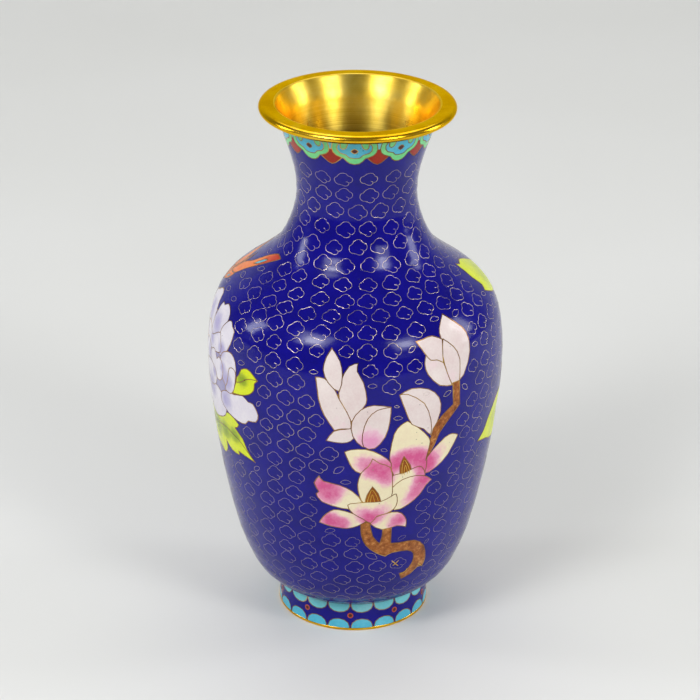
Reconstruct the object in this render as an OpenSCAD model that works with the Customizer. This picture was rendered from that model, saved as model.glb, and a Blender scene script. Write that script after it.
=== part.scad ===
// Cloisonne vase: a hammered copper body in three brazed shells, a gilt rim bead and foot
// edge, and enamel fired between standing wires. Millimetres, +Z up, origin at the centre
// of the foot on the table plane, the front of the vase towards -Y.

/* [Body outline] */
// Radius of the enamel where the belly meets the foot
joint_r = 32.5; // [31:0.5:34]
// Height of the foot, from the table to the belly
foot_h = 13; // [12:0.5:14]
// Radius low on the belly, where the underside turns up
knuckle_r = 47.4; // [46:0.2:49]
// Height of that turn
knuckle_z = 32.5; // [31:0.5:34]
// Largest radius of the belly
belly_r = 62.1; // [60:0.5:64]
// Height of the largest radius
belly_z = 120; // [116:1:124]
// Radius where the shoulder runs into the neck
shoulder_r = 34.9; // [34:0.2:36]
// Height of that point
shoulder_z = 166; // [164:0.5:168]
// Smallest radius of the neck
neck_r = 24.8; // [24:0.2:26]
// Height of the smallest radius
neck_z = 192; // [190:1:194]
// Radius of the flare right under the rim bead
flare_r = 32.8; // [32:0.2:34]
// Height of the rim bead's underside
flare_z = 226; // [225:0.5:227]

/* [Rim bead and foot edge] */
// Radius of the rim bead
rim_r = 40.5; // [39:0.5:42]
// Overall height
overall_h = 230; // [229:0.5:231]
// Radius of the mouth at the bead's inner edge
mouth_r = 33.4; // [32.8:0.2:34.4]
// Height of the copper tongue that the rim bead is slipped over
tongue_h = 1.2; // [0.8:0.2:1.6]
// Radius of the foot's gilt edge
edge_r = 32.3; // [32:0.1:33]
// Height of the foot's gilt edge
edge_h = 1.2; // [1:0.1:1.5]

/* [Walls] */
// Thickness of the fired enamel
enamel_t = 1; // [0.8:0.1:1.2]
// Thickness of the copper sheet
copper_t = 1.2; // [1:0.1:1.4]
// Width of the wires that stand between two enamels
wire_w = 0.35; // [0.3:0.05:0.4]
// Length of the step joint between the two belly shells
lap_h = 4; // [3:1:5]

/* [Bands] */
// Number of ruyi heads round the collar, and of dots round the foot
head_count = 10; // [8:1:10]
// Azimuth of the first ruyi head
head_phi = -2; // [-10:1:10]

/* [Sprays] */
// Azimuth of the magnolia spray, from the front towards +X
magnolia_phi = 18; // [14:1:22]
// Azimuth of the left peony
peony_phi = -75; // [-78:1:-72]
// Azimuth of the butterfly on the shoulder
butterfly_phi = -99; // [-102:1:-97]
// Azimuth of the peony at the back
back_phi = 118; // [116:1:124]

/* [Hidden] */

$fn = 180;
reach = 80;             // longer than the largest radius, for cuts that leave the vase
enamel_gap = 0.01;      // between the counter-enamel and the foot ring round it

COPPER = [0.72, 0.43, 0.25];
GILT = [0.85, 0.66, 0.12];
WIRE = [0.72, 0.56, 0.30];
COBALT = [0.06, 0.05, 0.50];
TURQUOISE = [0.33, 0.74, 0.82];
PALE_TURQUOISE = [0.60, 0.82, 0.82];
GREEN = [0.45, 0.82, 0.50];
RED = [0.55, 0.14, 0.05];
DARK_RED = [0.30, 0.15, 0.12];
PINK = [0.86, 0.50, 0.66];
WARM_WHITE = [0.90, 0.85, 0.82];
BROWN = [0.58, 0.33, 0.12];
STAMEN = [0.52, 0.30, 0.05];
LEAF = [0.72, 0.76, 0.12];
LAVENDER = [0.86, 0.84, 0.88];
SHADE = [0.60, 0.58, 0.70];
ORANGE = [0.93, 0.46, 0.20];

// ---------------------------------------------------------------- curves

function bezier(a, b, c, d, n) = [
    for (i = [0:n - 1]) let (t = i / n, u = 1 - t)
        u * u * u * a + 3 * u * u * t * b + 3 * u * t * t * c + t * t * t * d
];
function polar(angle, length) = length * [cos(angle), sin(angle)];

// Catmull-Rom curve through an open run of points, which ends sharply at both ends
function between(p, i, t) = let (
        a = p[max(i - 1, 0)], b = p[i], c = p[i + 1], d = p[min(i + 2, len(p) - 1)],
        m = (c - a) / 2, k = (d - b) / 2)
    (2 * pow(t, 3) - 3 * t * t + 1) * b + (pow(t, 3) - 2 * t * t + t) * m
    + (3 * t * t - 2 * pow(t, 3)) * c + (pow(t, 3) - t * t) * k;
function run(p, steps = 2) = [
    for (i = [0:len(p) - 2], s = [0:steps - 1]) between(p, i, s / steps)
];
// A closed outline made of runs that meet in sharp tips
function petal(runs) = [for (r = runs) each run(r)];
// A closed outline with no tip
function ring(p) = let (n = len(p)) [
    for (i = [0:n - 1], s = [0, 1]) let (
            a = p[(i + n - 1) % n], b = p[i], c = p[(i + 1) % n], d = p[(i + 2) % n])
        between([a, b, c, d], 1, s / 2)
];
function flipped(p) = [for (q = p) [-q[0], q[1]]];

// ---------------------------------------------------------------- wall profile

KNUCKLE = [knuckle_r, knuckle_z];
SHOULDER = [shoulder_r, shoulder_z];
// Slopes of the skin where its curves meet, in degrees from the horizontal
knuckle_slope = 63.5;
shoulder_slope = 136.6;
flare_slope = 76;
// How far each curve's own handles reach from its ends
joint_handle = [12, 8];
under_handle = 7;
knuckle_handle = 10;
low_belly_handle = 30;
high_belly_handle = 34;
crown_handle = 22.5;
shoulder_handle = 7.3;
low_neck_handle = 8;
high_neck_handle = 13;
flare_handle = 15.7;

UNDERSIDE = bezier([joint_r, foot_h], [joint_r, foot_h] + joint_handle,
                   KNUCKLE - polar(knuckle_slope, under_handle), KNUCKLE, 5);
FLANK = bezier(KNUCKLE, KNUCKLE + polar(knuckle_slope, knuckle_handle),
               [belly_r, belly_z - low_belly_handle], [belly_r, belly_z], 6);
CROWN = bezier([belly_r, belly_z], [belly_r, belly_z + high_belly_handle],
               SHOULDER - polar(shoulder_slope, crown_handle), SHOULDER, 11);
THROAT = bezier(SHOULDER, SHOULDER + polar(shoulder_slope, shoulder_handle),
                [neck_r, neck_z - low_neck_handle], [neck_r, neck_z], 6);
FLARE = bezier([neck_r, neck_z], [neck_r, neck_z + high_neck_handle],
               [flare_r, flare_z] - polar(flare_slope, flare_handle), [flare_r, flare_z], 6);
SKIN = concat(UNDERSIDE, FLANK, CROWN, THROAT, FLARE, [[flare_r, flare_z]]);
LAST = len(SKIN) - 1;
LAP_AT = len(UNDERSIDE) + len(FLANK);           // the belly's two shells meet here
NECK_AT = LAP_AT + len(CROWN);                  // the upper shell and the neck meet here

// Direction from the skin into the wall, at each point of the skin
function inward(i) = let (
        t = i == LAST ? polar(flare_slope, 1) : i == 0 ? SKIN[1] - SKIN[0] : SKIN[i + 1] - SKIN[i - 1])
    [-t[1], t[0]] / norm(t);
// The skin moved inwards by a depth, from point a to point b
function layer(depth, a = 0, b = LAST) = [for (i = [a:b]) SKIN[i] + depth * inward(i)];
function reversed(p) = [for (i = [len(p) - 1:-1:0]) p[i]];
// A sheet that lies between two depths of the wall
function sheet(d0, d1, a = 0, b = LAST) = concat(layer(d0, a, b), reversed(layer(d1, a, b)));

COPPER_OUT = layer(enamel_t);
COPPER_IN = layer(enamel_t + copper_t);
floor_z = COPPER_OUT[0][1];
band_t = 1;                                     // the foot's enamel, over its copper ring
band_set_in = 0.1;                              // how far it stays behind the gilt edge
band_neck = 0.8;                                // and, at its top, behind the belly
foot_top_r = COPPER_OUT[0][0] - band_t + band_set_in;   // outside of the foot ring, at its top
foot_low_r = edge_r - band_t - band_set_in;             // and at the gilt edge
foot_t = 1.4;

// ---------------------------------------------------------------- placing outlines on the wall

module on_side(phi)
    rotate([0, 0, phi]) rotate([90, 0, 0]) linear_extrude(reach) children();

module enamel_wall() rotate_extrude() polygon(sheet(0, enamel_t));

FOOT_WALL = [
    [foot_low_r, edge_h], [edge_r - band_set_in, edge_h], [joint_r - band_neck, foot_h],
    SKIN[0], COPPER_OUT[0], [foot_top_r, floor_z]
];

least_w = 0.6;          // cells and gaps that are narrower than this are left to the wires

// Outlines are drawn front to back: each one shows where those before it leave it bare
module seen(outlines, i)
    offset(delta = (least_w - wire_w) / 2)
        offset(delta = -least_w / 2)
            difference() {
                polygon(outlines[i]);
                for (j = [0:1:i - 1]) polygon(outlines[j]);
            }

module silhouette(outlines)
    offset(delta = -least_w / 2)
        offset(delta = (least_w + wire_w) / 2)
            for (o = outlines) polygon(o);

// The cells of one enamel, cut from the wall
module cells(phi, outlines, picks)
    intersection() {
        enamel_wall();
        for (i = picks) on_side(phi) seen(outlines, i);
    }

// The wires that stand round every cell of a spray
module spray_wires(phi, outlines)
    color(WIRE)
        intersection() {
            enamel_wall();
            on_side(phi)
                offset(delta = 0)
                    difference() {
                        silhouette(outlines);
                        for (i = [0:len(outlines) - 1]) seen(outlines, i);
                    }
        }

// ---------------------------------------------------------------- magnolia spray

FRONT_LIP = ring([[-20, 74], [-19.3, 75.7], [-12.5, 76.4], [-7, 76.4], [-2.7, 78.6], [-0.8, 79.4],
    [0, 75.5], [-1, 72.2], [-4.3, 70], [-8.2, 69], [-10.5, 65.6], [-13.8, 67.8], [-18, 70.8]]);
LOW_STAMEN = petal([[[-13.5, 76.2], [-13, 80], [-11, 84.2]], [[-11, 84.2], [-8.4, 80.5], [-7, 76.2]],
    [[-7, 76.2], [-10, 75], [-13.5, 76.2]]]);
CENTRE_PETAL = petal([[[-11.6, 98], [-13, 94.5], [-15.8, 91.3], [-17, 85.5], [-15.8, 79.5],
    [-14, 76], [-9, 74], [-3, 76], [-2.8, 86], [-4, 93], [-8.4, 95.4], [-11.6, 98]]]);
RIGHT_PETAL = petal([[[15, 83], [12.3, 85.5], [7.7, 87.1], [1.5, 86.3], [-3, 82.5], [-5, 78], [-1, 71.3],
    [4.6, 72.8], [10, 77], [12.7, 81.3], [15, 83]]]);
LEFT_PETAL = petal([[[-31.6, 88.6], [-30, 86.4], [-24, 85], [-18.8, 82], [-14.6, 76.4], [-17, 73.5],
    [-22, 73.2], [-30, 75.8], [-32.2, 79.5]], [[-32.2, 79.5], [-31.3, 80.8]],
    [[-31.3, 80.8], [-33.2, 85], [-31.6, 88.6]]]);
LOW_LEFT_PETAL = petal([[[-30.2, 65], [-29, 68.3], [-26.6, 71.4], [-23.8, 72.4], [-17.7, 70.6],
    [-12.4, 66.7]], [[-12.4, 66.7], [-15.4, 64.4], [-20, 62.8], [-26, 63.6], [-30.2, 65]]]);
LOW_RIGHT_PETAL = petal([[[4.8, 61.4], [0.7, 62.8], [-5.4, 61.7], [-10.5, 65], [-9.3, 68.3], [-2, 70.3],
    [2.4, 69], [4.8, 65], [4.8, 61.4]]]);
UPPER_LEFT_PETAL = petal([[[-22.7, 101.3], [-20.4, 102.5], [-14.6, 102.7], [-8.5, 99.8], [-3.8, 95.2],
    [-5, 92], [-12, 90], [-18, 92], [-20.6, 96], [-22.7, 101.3]]]);
BACK_LIP = ring([[-2.7, 89], [1.8, 89.4], [5, 90.6], [8, 91.4], [10, 90.6], [11.7, 86.7], [9, 83], [3, 82],
    [-2.5, 81.6], [-3.4, 85]]);
HIGH_STAMEN = petal([[[0.4, 88], [0, 93], [1.5, 97.7]], [[1.5, 97.7], [4.6, 92.8], [5.4, 89]],
    [[5.4, 89], [2.7, 87], [0.4, 88]]]);
BACK_PETAL = petal([[[2.3, 114.3], [-0.5, 112.8], [-3.2, 109], [-4.6, 100], [-4.2, 95.6], [-2, 88],
    [5, 86], [11.5, 87.5], [12, 95.2], [12.9, 101], [12.3, 104.5], [7.3, 110.3], [2.3, 114.3]]]);
WING_PETAL = petal([[[26.8, 101.1], [24, 102.8], [20, 102.2], [14, 97.2], [9.5, 91], [11.5, 87.2],
    [16.2, 88.6], [22.3, 93.3], [26.8, 101.1]]]);

LEFT_BUD_TOP = petal([[[-26.5, 146], [-29, 142.5], [-30.6, 137.5], [-29, 132.3], [-25.1, 129],
    [-23.7, 136], [-24.2, 141.4], [-26.5, 146]]]);
LEFT_BUD_OUTER = petal([[[-33.4, 134.2], [-30.3, 134], [-27.1, 130.4], [-25.3, 126], [-23.5, 122.5],
    [-20.8, 116.4], [-20.6, 112.3]], [[-20.6, 112.3], [-24, 112.3], [-26.7, 111.4]],
    [[-26.7, 111.4], [-30.6, 118], [-32.6, 125], [-33.4, 134.2]]]);
LEFT_BUD_INNER = petal([[[-17.4, 140.8], [-21, 139.5], [-24.4, 133.6], [-25.3, 128], [-24.2, 122.5],
    [-20.8, 115.5], [-16, 122], [-14.6, 125.7], [-15.8, 133], [-18, 137.5], [-17.4, 140.8]]]);
LEFT_BUD_CUP = petal([[[-29.6, 106.3], [-27, 110.9], [-22.4, 112.2], [-19.5, 112.2], [-19.4, 108],
    [-22, 105.9], [-25.6, 105.7], [-29.6, 106.3]]]);
INNER_BUD_BACK = petal([[[-4.8, 121.6], [-11.7, 123], [-17, 121], [-20.3, 115.7], [-19.8, 109],
    [-16, 104], [-12, 105], [-8, 112], [-4.8, 121.6]]]);
INNER_BUD = petal([[[-4.8, 121.6], [-10.3, 120.7], [-14.2, 116.8], [-16, 110], [-15.5, 104], [-11, 103],
    [-7, 108], [-5.2, 115], [-4.8, 121.6]]]);
CENTRE_BUD = petal([[[-1.3, 126.6], [2.4, 126.3], [9.6, 121], [12.8, 112.5], [13, 105.7], [9.6, 109.3],
    [4.2, 112.5], [1.4, 119], [-1.3, 126.6]]]);
CENTRE_BUD_BACK = petal([[[-1.3, 126.6], [4, 128.6], [11.4, 127], [16.4, 122], [17.2, 115.4],
    [13.5, 107], [10, 112], [6, 120], [-1.3, 126.6]]]);
RIGHT_BUD_TIP = petal([[[7.2, 146.8], [10.3, 147.1], [14.6, 147.5], [19, 145.4]],
    [[19, 145.4], [18.5, 139.3], [18.7, 136.4]],
    [[18.7, 136.4], [15.6, 138.3], [12.8, 138.8], [10.3, 142], [7.2, 146.8]]]);
RIGHT_BUD_SIDE = petal([[[11, 141.4], [10, 138], [11.4, 133], [16.7, 127.3], [22.6, 125.8]],
    [[22.6, 125.8], [20.3, 131.8], [18.7, 136.4]], [[18.7, 136.4], [15, 140], [11, 141.4]]]);
RIGHT_BUD_FRONT = petal([[[19.4, 145.4], [18.5, 139.3], [20.3, 131.8], [22.5, 126.4]],
    [[22.5, 126.4], [26.4, 126.4]], [[26.4, 126.4], [26.8, 135.7], [24, 141.4], [19.4, 145.4]]]);
RIGHT_BUD_BACK = petal([[[21.6, 152.9], [18.6, 149.3], [18.6, 145.5], [22, 138], [24, 127.5],
    [28.6, 128.2], [32.3, 137], [31.4, 144.3], [27.1, 148.9], [21.6, 152.9]]]);
UPPER_BRANCH = petal([[[23, 126.6], [26.4, 126.6]], [[26.4, 126.6], [26.6, 121], [26.8, 115.7]],
    [[26.8, 115.7], [21.7, 110.7], [17.4, 105.7], [15, 100], [11.5, 94]],
    [[11.5, 94], [12.8, 100.7], [13.9, 108], [18, 113.2], [23.5, 116.8]],
    [[23.5, 116.8], [23.2, 122], [23, 126.6]]]);
LOWER_BRANCH = petal([[[-14.6, 66], [-14, 59.7], [-11.7, 53.8], [-7.1, 49.3], [-2.9, 46.9]],
    [[-2.9, 46.9], [0, 48.5], [6.7, 48.2], [10, 45.5], [9.9, 40.5], [7.3, 36.2], [4.6, 35.6]],
    [[4.6, 35.6], [5.2, 34], [6, 32]], [[6, 32], [10, 33.8], [13, 36.8], [15.3, 36.4]],
    [[15.3, 36.4], [16.2, 41.3], [14.6, 48.4], [9.6, 53], [2.5, 53.4], [-1.2, 53.8]],
    [[-1.2, 53.8], [-1.6, 64]], [[-1.6, 64], [-5.3, 64]],
    [[-5.3, 64], [-5.2, 58.4], [-6, 54.3]], [[-6, 54.3], [-9.2, 58.4], [-11, 66]], [[-11, 66], [-14.6, 66]]]);

MAGNOLIA = [
    FRONT_LIP, LOW_STAMEN, CENTRE_PETAL, RIGHT_PETAL, BACK_LIP, HIGH_STAMEN, LEFT_PETAL,
    LOW_LEFT_PETAL, LOW_RIGHT_PETAL, UPPER_LEFT_PETAL, UPPER_BRANCH, INNER_BUD, INNER_BUD_BACK,
    CENTRE_BUD, CENTRE_BUD_BACK, BACK_PETAL, WING_PETAL, LEFT_BUD_CUP, LEFT_BUD_TOP,
    LEFT_BUD_OUTER, LEFT_BUD_INNER, RIGHT_BUD_TIP, RIGHT_BUD_SIDE, RIGHT_BUD_FRONT,
    RIGHT_BUD_BACK, LOWER_BRANCH
];
PINK_CELLS = [0, 2, 3, 4, 6, 7, 8, 9, 15, 16];
WHITE_CELLS = [11, 12, 13, 14, 17, 18, 19, 20, 21, 22, 23, 24];
STAMEN_CELLS = [1, 5];
BRANCH_CELLS = [10, 25];

// ---------------------------------------------------------------- peony sprays

PEONY_HEART = [
    ring([[-10, 113], [-4, 110.4], [3, 111], [7, 114], [7.4, 118], [4, 120.5], [-2, 121], [-8, 119]]),
    ring([[6.5, 117], [10.5, 116.4], [13.5, 118.6], [14.4, 122.5], [13, 126], [10, 127], [8, 125.2],
        [5.5, 128], [2, 127.6], [-1, 124.5], [0, 120.5], [3.5, 118.5]]),
    ring([[-13, 118.5], [-6, 117.6], [-1, 119.6], [0.5, 124], [-1, 127.5], [-5, 129], [-10, 128],
        [-13.5, 124]]),
    ring([[-12, 127], [-5, 127.6], [0, 126.8], [6, 127.6], [11.4, 129.6], [10.4, 134], [8.6, 137.2],
        [4, 135], [-1, 132.6], [-5, 136], [-10, 135.5], [-13.5, 131.5]])
];
PEONY_SKIRT = [
    ring([[24, 124.4], [22.5, 126.6], [19.5, 125.8], [18.6, 121.5], [17.6, 118], [16, 115], [20, 114.4],
        [22.8, 117.4]]),
    ring([[12.6, 129.6], [16, 131.8], [19, 132.6], [22, 131.4], [24, 127.6], [23.6, 121], [19, 116],
        [14.2, 118.6], [12, 124.5]]),
    ring([[12.4, 143.8], [14.6, 144.4], [16.4, 142.8], [18.8, 141.4], [18.4, 136], [15.6, 131], [11, 128],
        [8, 131], [8, 136], [9.6, 140.4]]),
    ring([[-0.4, 144], [0.8, 147.4], [3.2, 147], [5.6, 148.4], [9.6, 147.2], [11.8, 144.4], [10.5, 138],
        [8, 133], [2, 131], [-2.6, 134], [-2, 139.6]]),
    ring([[-3.4, 144.6], [-5.4, 148.6], [-9.6, 149], [-13.4, 147], [-17.4, 145.4], [-19, 141], [-16, 135],
        [-10, 132], [-4, 133], [-1.4, 139]]),
    ring([[-11.6, 136.5], [-19.6, 137], [-24.4, 133.4], [-26, 127.6], [-23, 121], [-16, 117], [-10.6, 122],
        [-11, 130]]),
    ring([[-8, 120], [-18.4, 120.6], [-25.4, 117.8], [-28.4, 111], [-25.4, 105.4], [-18.6, 103.6],
        [-10.5, 106], [-6.5, 113]]),
    ring([[22.5, 115], [28, 116.8], [31, 115.2], [33.4, 115.2], [35.6, 111], [34.2, 107.2],
        [30.4, 106.2], [28.6, 104], [24, 103.4], [17, 104.6], [12, 107.5], [12.4, 112], [17, 114.4]]),
    ring([[16, 106.8], [14.4, 102], [9, 98.8], [3, 97.2], [-3, 97.4], [-9, 99.6], [-14, 103.4],
        [-11, 108], [-6, 111.8], [2, 112], [8, 112.8], [13, 111]])
];
PEONY_PETALS = concat(PEONY_HEART, PEONY_SKIRT);
PEONY_SHADE = [ring([[0, 143], [10, 141], [17, 133], [20, 122], [19, 110], [12, 104], [0, 102.6],
    [-12, 104.6], [-19, 112], [-20, 124], [-16, 136], [-9, 141.4]])];
// Each leaf's upper edge, and the part of the leaf between that edge and its vein
SMALL_EDGE = [[24.4, 121.6], [24.8, 124], [26, 125.6], [27.2, 128.4], [30.2, 129.8], [33.2, 128.4],
    [35.6, 126.5]];
SMALL_LEAF_HIGH = petal([SMALL_EDGE, [[35.6, 126.5], [33, 126.2], [30, 125], [27.4, 122.8], [24.4, 121.6]]]);
SMALL_LEAF = petal([SMALL_EDGE, [[35.6, 126.5], [34.2, 124.8]],
    [[34.2, 124.8], [34, 121.6], [31.5, 118.7], [27, 116.7], [22, 115.6]], [[22, 115.6], [24.4, 121.6]]]);
LOBED_EDGE = [[[30.8, 86.8], [27, 91.5], [25.5, 95.4], [21, 98.8]], [[21, 98.8], [24.2, 101.6],
    [18, 104.2], [10, 102], [-4, 99]], [[-4, 99], [-14, 97.5], [-22, 92]]];
LOBED_LEAF_HIGH = petal(concat(LOBED_EDGE,
    [[[-22, 92], [-10, 91.6], [4, 94], [12, 95.6], [18, 95], [24, 93], [30.8, 86.8]]]));
LOBED_LEAF = petal(concat(LOBED_EDGE, [
    [[-22, 92], [-14, 87], [-6, 83], [3, 82], [7.6, 81.2], [11.4, 85], [11.2, 88.8]],
    [[11.2, 88.8], [16, 86.2], [21.4, 86.2], [21, 88]], [[21, 88], [25, 87.6], [30.8, 86.8]]]));

PEONY = concat(PEONY_PETALS, PEONY_SHADE, [SMALL_LEAF_HIGH, SMALL_LEAF, LOBED_LEAF_HIGH, LOBED_LEAF]);
petal_count = len(PEONY_PETALS);

BACK_BRANCH = petal([[[-3, 100], [-5, 84], [-1, 66], [-6, 50], [-16, 38]], [[-16, 38], [-11, 36.6]],
    [[-11, 36.6], [0, 48], [5, 62]], [[5, 62], [16, 68], [24, 76]], [[24, 76], [25.4, 73]],
    [[25.4, 73], [16, 63], [6, 57], [-2, 44]], [[-2, 44], [-1, 41], [4, 39]],
    [[4, 39], [0, 38], [-5, 41.4], [-7, 45]], [[-7, 45], [1, 56], [4.6, 68], [1.6, 84], [3, 100]],
    [[3, 100], [-3, 100]]]);
SHOULDER_LEAF = petal([[[-23, 160.4], [-21.4, 159.2], [-17.5, 159.4], [-13.5, 157.5], [-6.9, 153],
    [-2, 149.8]],
    [[-2, 149.8], [-12, 145.5], [-22.2, 145], [-28.8, 147.5], [-32.4, 150.4]],
    [[-32.4, 150.4], [-29.6, 151.9]], [[-29.6, 151.9], [-28, 155.2], [-25.4, 157.6], [-23, 160.4]]]);
FLANK_LEAF = petal([[[-51.5, 91.5], [-49, 95], [-47, 101], [-42, 106], [-34, 107], [-24, 104], [-12, 96.5]],
    [[-12, 96.5], [-22, 88], [-32, 84], [-41.8, 86.5], [-46, 89], [-51.5, 91.5]]]);
HIGH_LEAF = petal([[[10, 142], [20, 146.4], [31, 143]], [[31, 143], [34, 134], [27, 126], [18, 128]],
    [[18, 128], [12, 134], [10, 142]]]);
LOW_LEAF = petal([[[23, 75.5], [30, 84], [40, 86]], [[40, 86], [41, 76], [35, 69], [25.8, 72]],
    [[25.8, 72], [23, 75.5]]]);

BACK = concat(
    [for (p = PEONY_PETALS) flipped(p)], [for (p = PEONY_SHADE) flipped(p)],
    [FLANK_LEAF, SHOULDER_LEAF, HIGH_LEAF, LOW_LEAF, BACK_BRANCH]
);
BACK_LEAVES = [for (i = [1:4]) petal_count + i];

// ---------------------------------------------------------------- butterfly

FORE_WING = petal([[[1.2, 152.4], [0.9, 155], [3, 157.3], [6.5, 159.3], [8.8, 161.7], [12.3, 165],
    [16.2, 167.2], [19.5, 166.5]], [[19.5, 166.5], [15.7, 162.3], [11.1, 158], [9.2, 155.6], [8, 153.8]],
    [[8, 153.8], [4.4, 152.6], [1.2, 152.4]]]);
HIND_WING = petal([[[1.2, 152.4], [4.4, 152.6], [8, 153.8]],
    [[8, 153.8], [7.8, 151.4], [3.5, 149], [0.6, 148.6]],
    [[0.6, 148.6], [0.8, 150.6], [1.2, 152.4]]]);
FORE_SPOT = ring([[10, 159.6], [12.6, 162.8], [14.6, 163.6], [12.8, 161]]);
HIND_SPOT = ring([[3.4, 150.4], [4.8, 151.8], [6.4, 151.6], [5.2, 150.6]]);
FLY_BODY = ring([[0, 160], [1.4, 156.5], [1, 151], [0, 147.8], [-1, 151], [-1.4, 156.5]]);

BUTTERFLY = [
    FLY_BODY, FORE_SPOT, flipped(FORE_SPOT), HIND_SPOT, flipped(HIND_SPOT),
    FORE_WING, flipped(FORE_WING), HIND_WING, flipped(HIND_WING)
];

// ---------------------------------------------------------------- collar of ruyi heads

head_pitch = 360 / head_count;
// A closed outline from its right-hand half, which starts on the middle line
function both_sides(half, steps) = let (right = concat(run(half, steps), [half[len(half) - 1]]))
    concat(right, reversed(flipped([for (i = [1:len(right) - 1]) right[i]])));

DOT = ring([[0, 221.6], [1.4, 220.5], [0, 219.4], [-1.4, 220.5]]);
RUYI_HEAD = both_sides([
    [0, 214.2], [1.9, 214.6], [3.2, 215.6], [4.3, 217], [5.6, 217.5], [7.4, 218.3],
    [8.6, 219.5], [9.2, 221.2], [9.1, 223], [8.4, 227]
], 1);
RUYI_LOBE = both_sides([
    [0, 217.1], [2.1, 217.4], [3.4, 218.7], [5.8, 219.5], [6.9, 220.7], [7.2, 222.2], [6.6, 223.6],
    [4, 224.2], [3.4, 227]
], 1);
CURL = [[2.6, 227], [2.8, 223.6], [3.5, 221.8], [4.6, 221.2], [5.6, 221.9], [5.8, 223.2], [5.2, 227]];
COLLAR = [DOT, CURL, flipped(CURL), RUYI_LOBE, RUYI_HEAD];
// Between two heads: a red panel with a pale corner above it, drawn wide and cut to the heads
PANEL = [[-4.2, 221], [-4.2, 217], [-3.2, 216], [-1.6, 214.6], [0, 213.9],
    [1.6, 214.6], [3.2, 216], [4.2, 217], [4.2, 221]];
CORNER = [[-4.2, 221], [4.2, 221], [4.2, 227], [-4.2, 227]];
BETWEEN = [PANEL, CORNER];

collar_from = 22;           // the collar's cuts start outside the hollow of the neck
collar_rows = 4;            // points of the skin that the collar's wall runs back from the rim
collar_overlap = 0.1;       // how far one head's stretch of wall runs past its pitch, in pitches
COLLAR_WALL = sheet(0, enamel_t, LAST - collar_rows, LAST);

module on_collar()
    rotate([90, 0, 0]) translate([0, 0, collar_from])
        linear_extrude(flare_r) children();

// The stretch of the collar's wall under one head or one panel
module collar_piece()
    rotate([0, 0, -90 - head_pitch * (0.5 + collar_overlap)])
        rotate_extrude(angle = head_pitch * (1 + 2 * collar_overlap)) polygon(COLLAR_WALL);

module each_head(turn = 0)
    for (i = [0:head_count - 1]) rotate([0, 0, head_phi + turn + i * head_pitch]) children();

module collar_cells(picks)
    each_head()
        for (i = picks)
            intersection() {
                collar_piece();
                on_collar() seen(COLLAR, i);
            }

// What lies between two heads gives way to the heads and their wires on both sides
module between_heads()
    each_head(head_pitch / 2)
        difference() {
            intersection() {
                collar_piece();
                on_collar() children();
            }
            for (side = [-1, 1]) rotate([0, 0, side * head_pitch / 2]) on_collar() silhouette([RUYI_HEAD]);
        }

// ---------------------------------------------------------------- foot band

dot_z = 7.2;
dot_r = 1.05;
dot_sides = 12;
dot_wire_w = 0.5;
scallop_count = 2 * head_count;         // a dot stands over every second cusp
scallop_pitch = 360 / scallop_count;
band_from = 30.5;                       // the band's cuts start between the foot ring and the hollow
scallop_w = band_from * tan(scallop_pitch / 2) - wire_w / 2;
clear = 1;                              // how far an outline runs past the edge of the band
function scallop(edge, ends, crown) = concat(
    [for (a = [180:-30:0]) [scallop_w * cos(a), ends + (crown - ends) * sin(a)]],
    [[scallop_w, edge], [-scallop_w, edge]]);
LOWER = scallop(edge = edge_h - clear, ends = 2, crown = 5.5);
UPPER = scallop(edge = foot_h + clear, ends = 11.6, crown = 8.6);

module on_band()
    rotate([90, 0, 0]) translate([0, 0, band_from]) linear_extrude(foot_t + band_t + clear) children();

module each_scallop()
    for (i = [0:scallop_count - 1]) rotate([0, 0, head_phi + (i + 0.5) * scallop_pitch]) children();

// The stretch of the band round one scallop or one dot
module band_piece()
    rotate([0, 0, -90 - scallop_pitch / 2]) rotate_extrude(angle = scallop_pitch) polygon(FOOT_WALL);

module band_cell()
    intersection() {
        band_piece();
        on_band() children();
    }

module wire_round(outline)
    offset(delta = 0)
        difference() {
            offset(delta = wire_w / 2) polygon(outline);
            offset(delta = -wire_w / 2) polygon(outline);
        }

module dot_outline(grow) translate([0, dot_z]) circle(dot_r + grow, $fn = dot_sides);

// ---------------------------------------------------------------- metal parts

// The step joint at the belly's widest: each shell is cut to half its thickness over the lap
lap_out_r = belly_r - enamel_t;
lap_in_r = lap_out_r - copper_t;
lap_mid_r = (lap_out_r + lap_in_r) / 2;
lap_low_z = belly_z - lap_h / 2;
lap_high_z = belly_z + lap_h / 2;

// Lower half of the belly, raised with its own floor
module belly_lower_shell()
    color(COPPER)
        rotate_extrude()
            polygon(concat(
                [[0, floor_z]], layer(enamel_t, 0, LAP_AT),
                [[lap_out_r, lap_high_z], [lap_mid_r, lap_high_z],
                 [lap_mid_r, lap_low_z], [lap_in_r, lap_low_z]],
                reversed(layer(enamel_t + copper_t, 0, LAP_AT - 1)), [[0, COPPER_IN[0][1]]]));

module belly_upper_shell()
    color(COPPER)
        rotate_extrude()
            polygon(concat(
                [[lap_mid_r, lap_low_z], [lap_mid_r, lap_high_z], [lap_out_r, lap_high_z]],
                layer(enamel_t, LAP_AT + 1, NECK_AT),
                reversed(layer(enamel_t + copper_t, LAP_AT + 1, NECK_AT)),
                [[lap_in_r, belly_z], [lap_in_r, lap_low_z]]));

// The neck is bare and gilt inside; its top edge is the tongue that the rim bead sits on
module neck_shell()
    color(GILT)
        rotate_extrude()
            polygon(concat(
                layer(enamel_t, NECK_AT), [tongue_out, tongue_in],
                reversed(layer(enamel_t + copper_t, NECK_AT))));

tongue_out = COPPER_OUT[LAST] + polar(flare_slope, tongue_h);
tongue_in = COPPER_IN[LAST] + polar(flare_slope, tongue_h);

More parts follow.
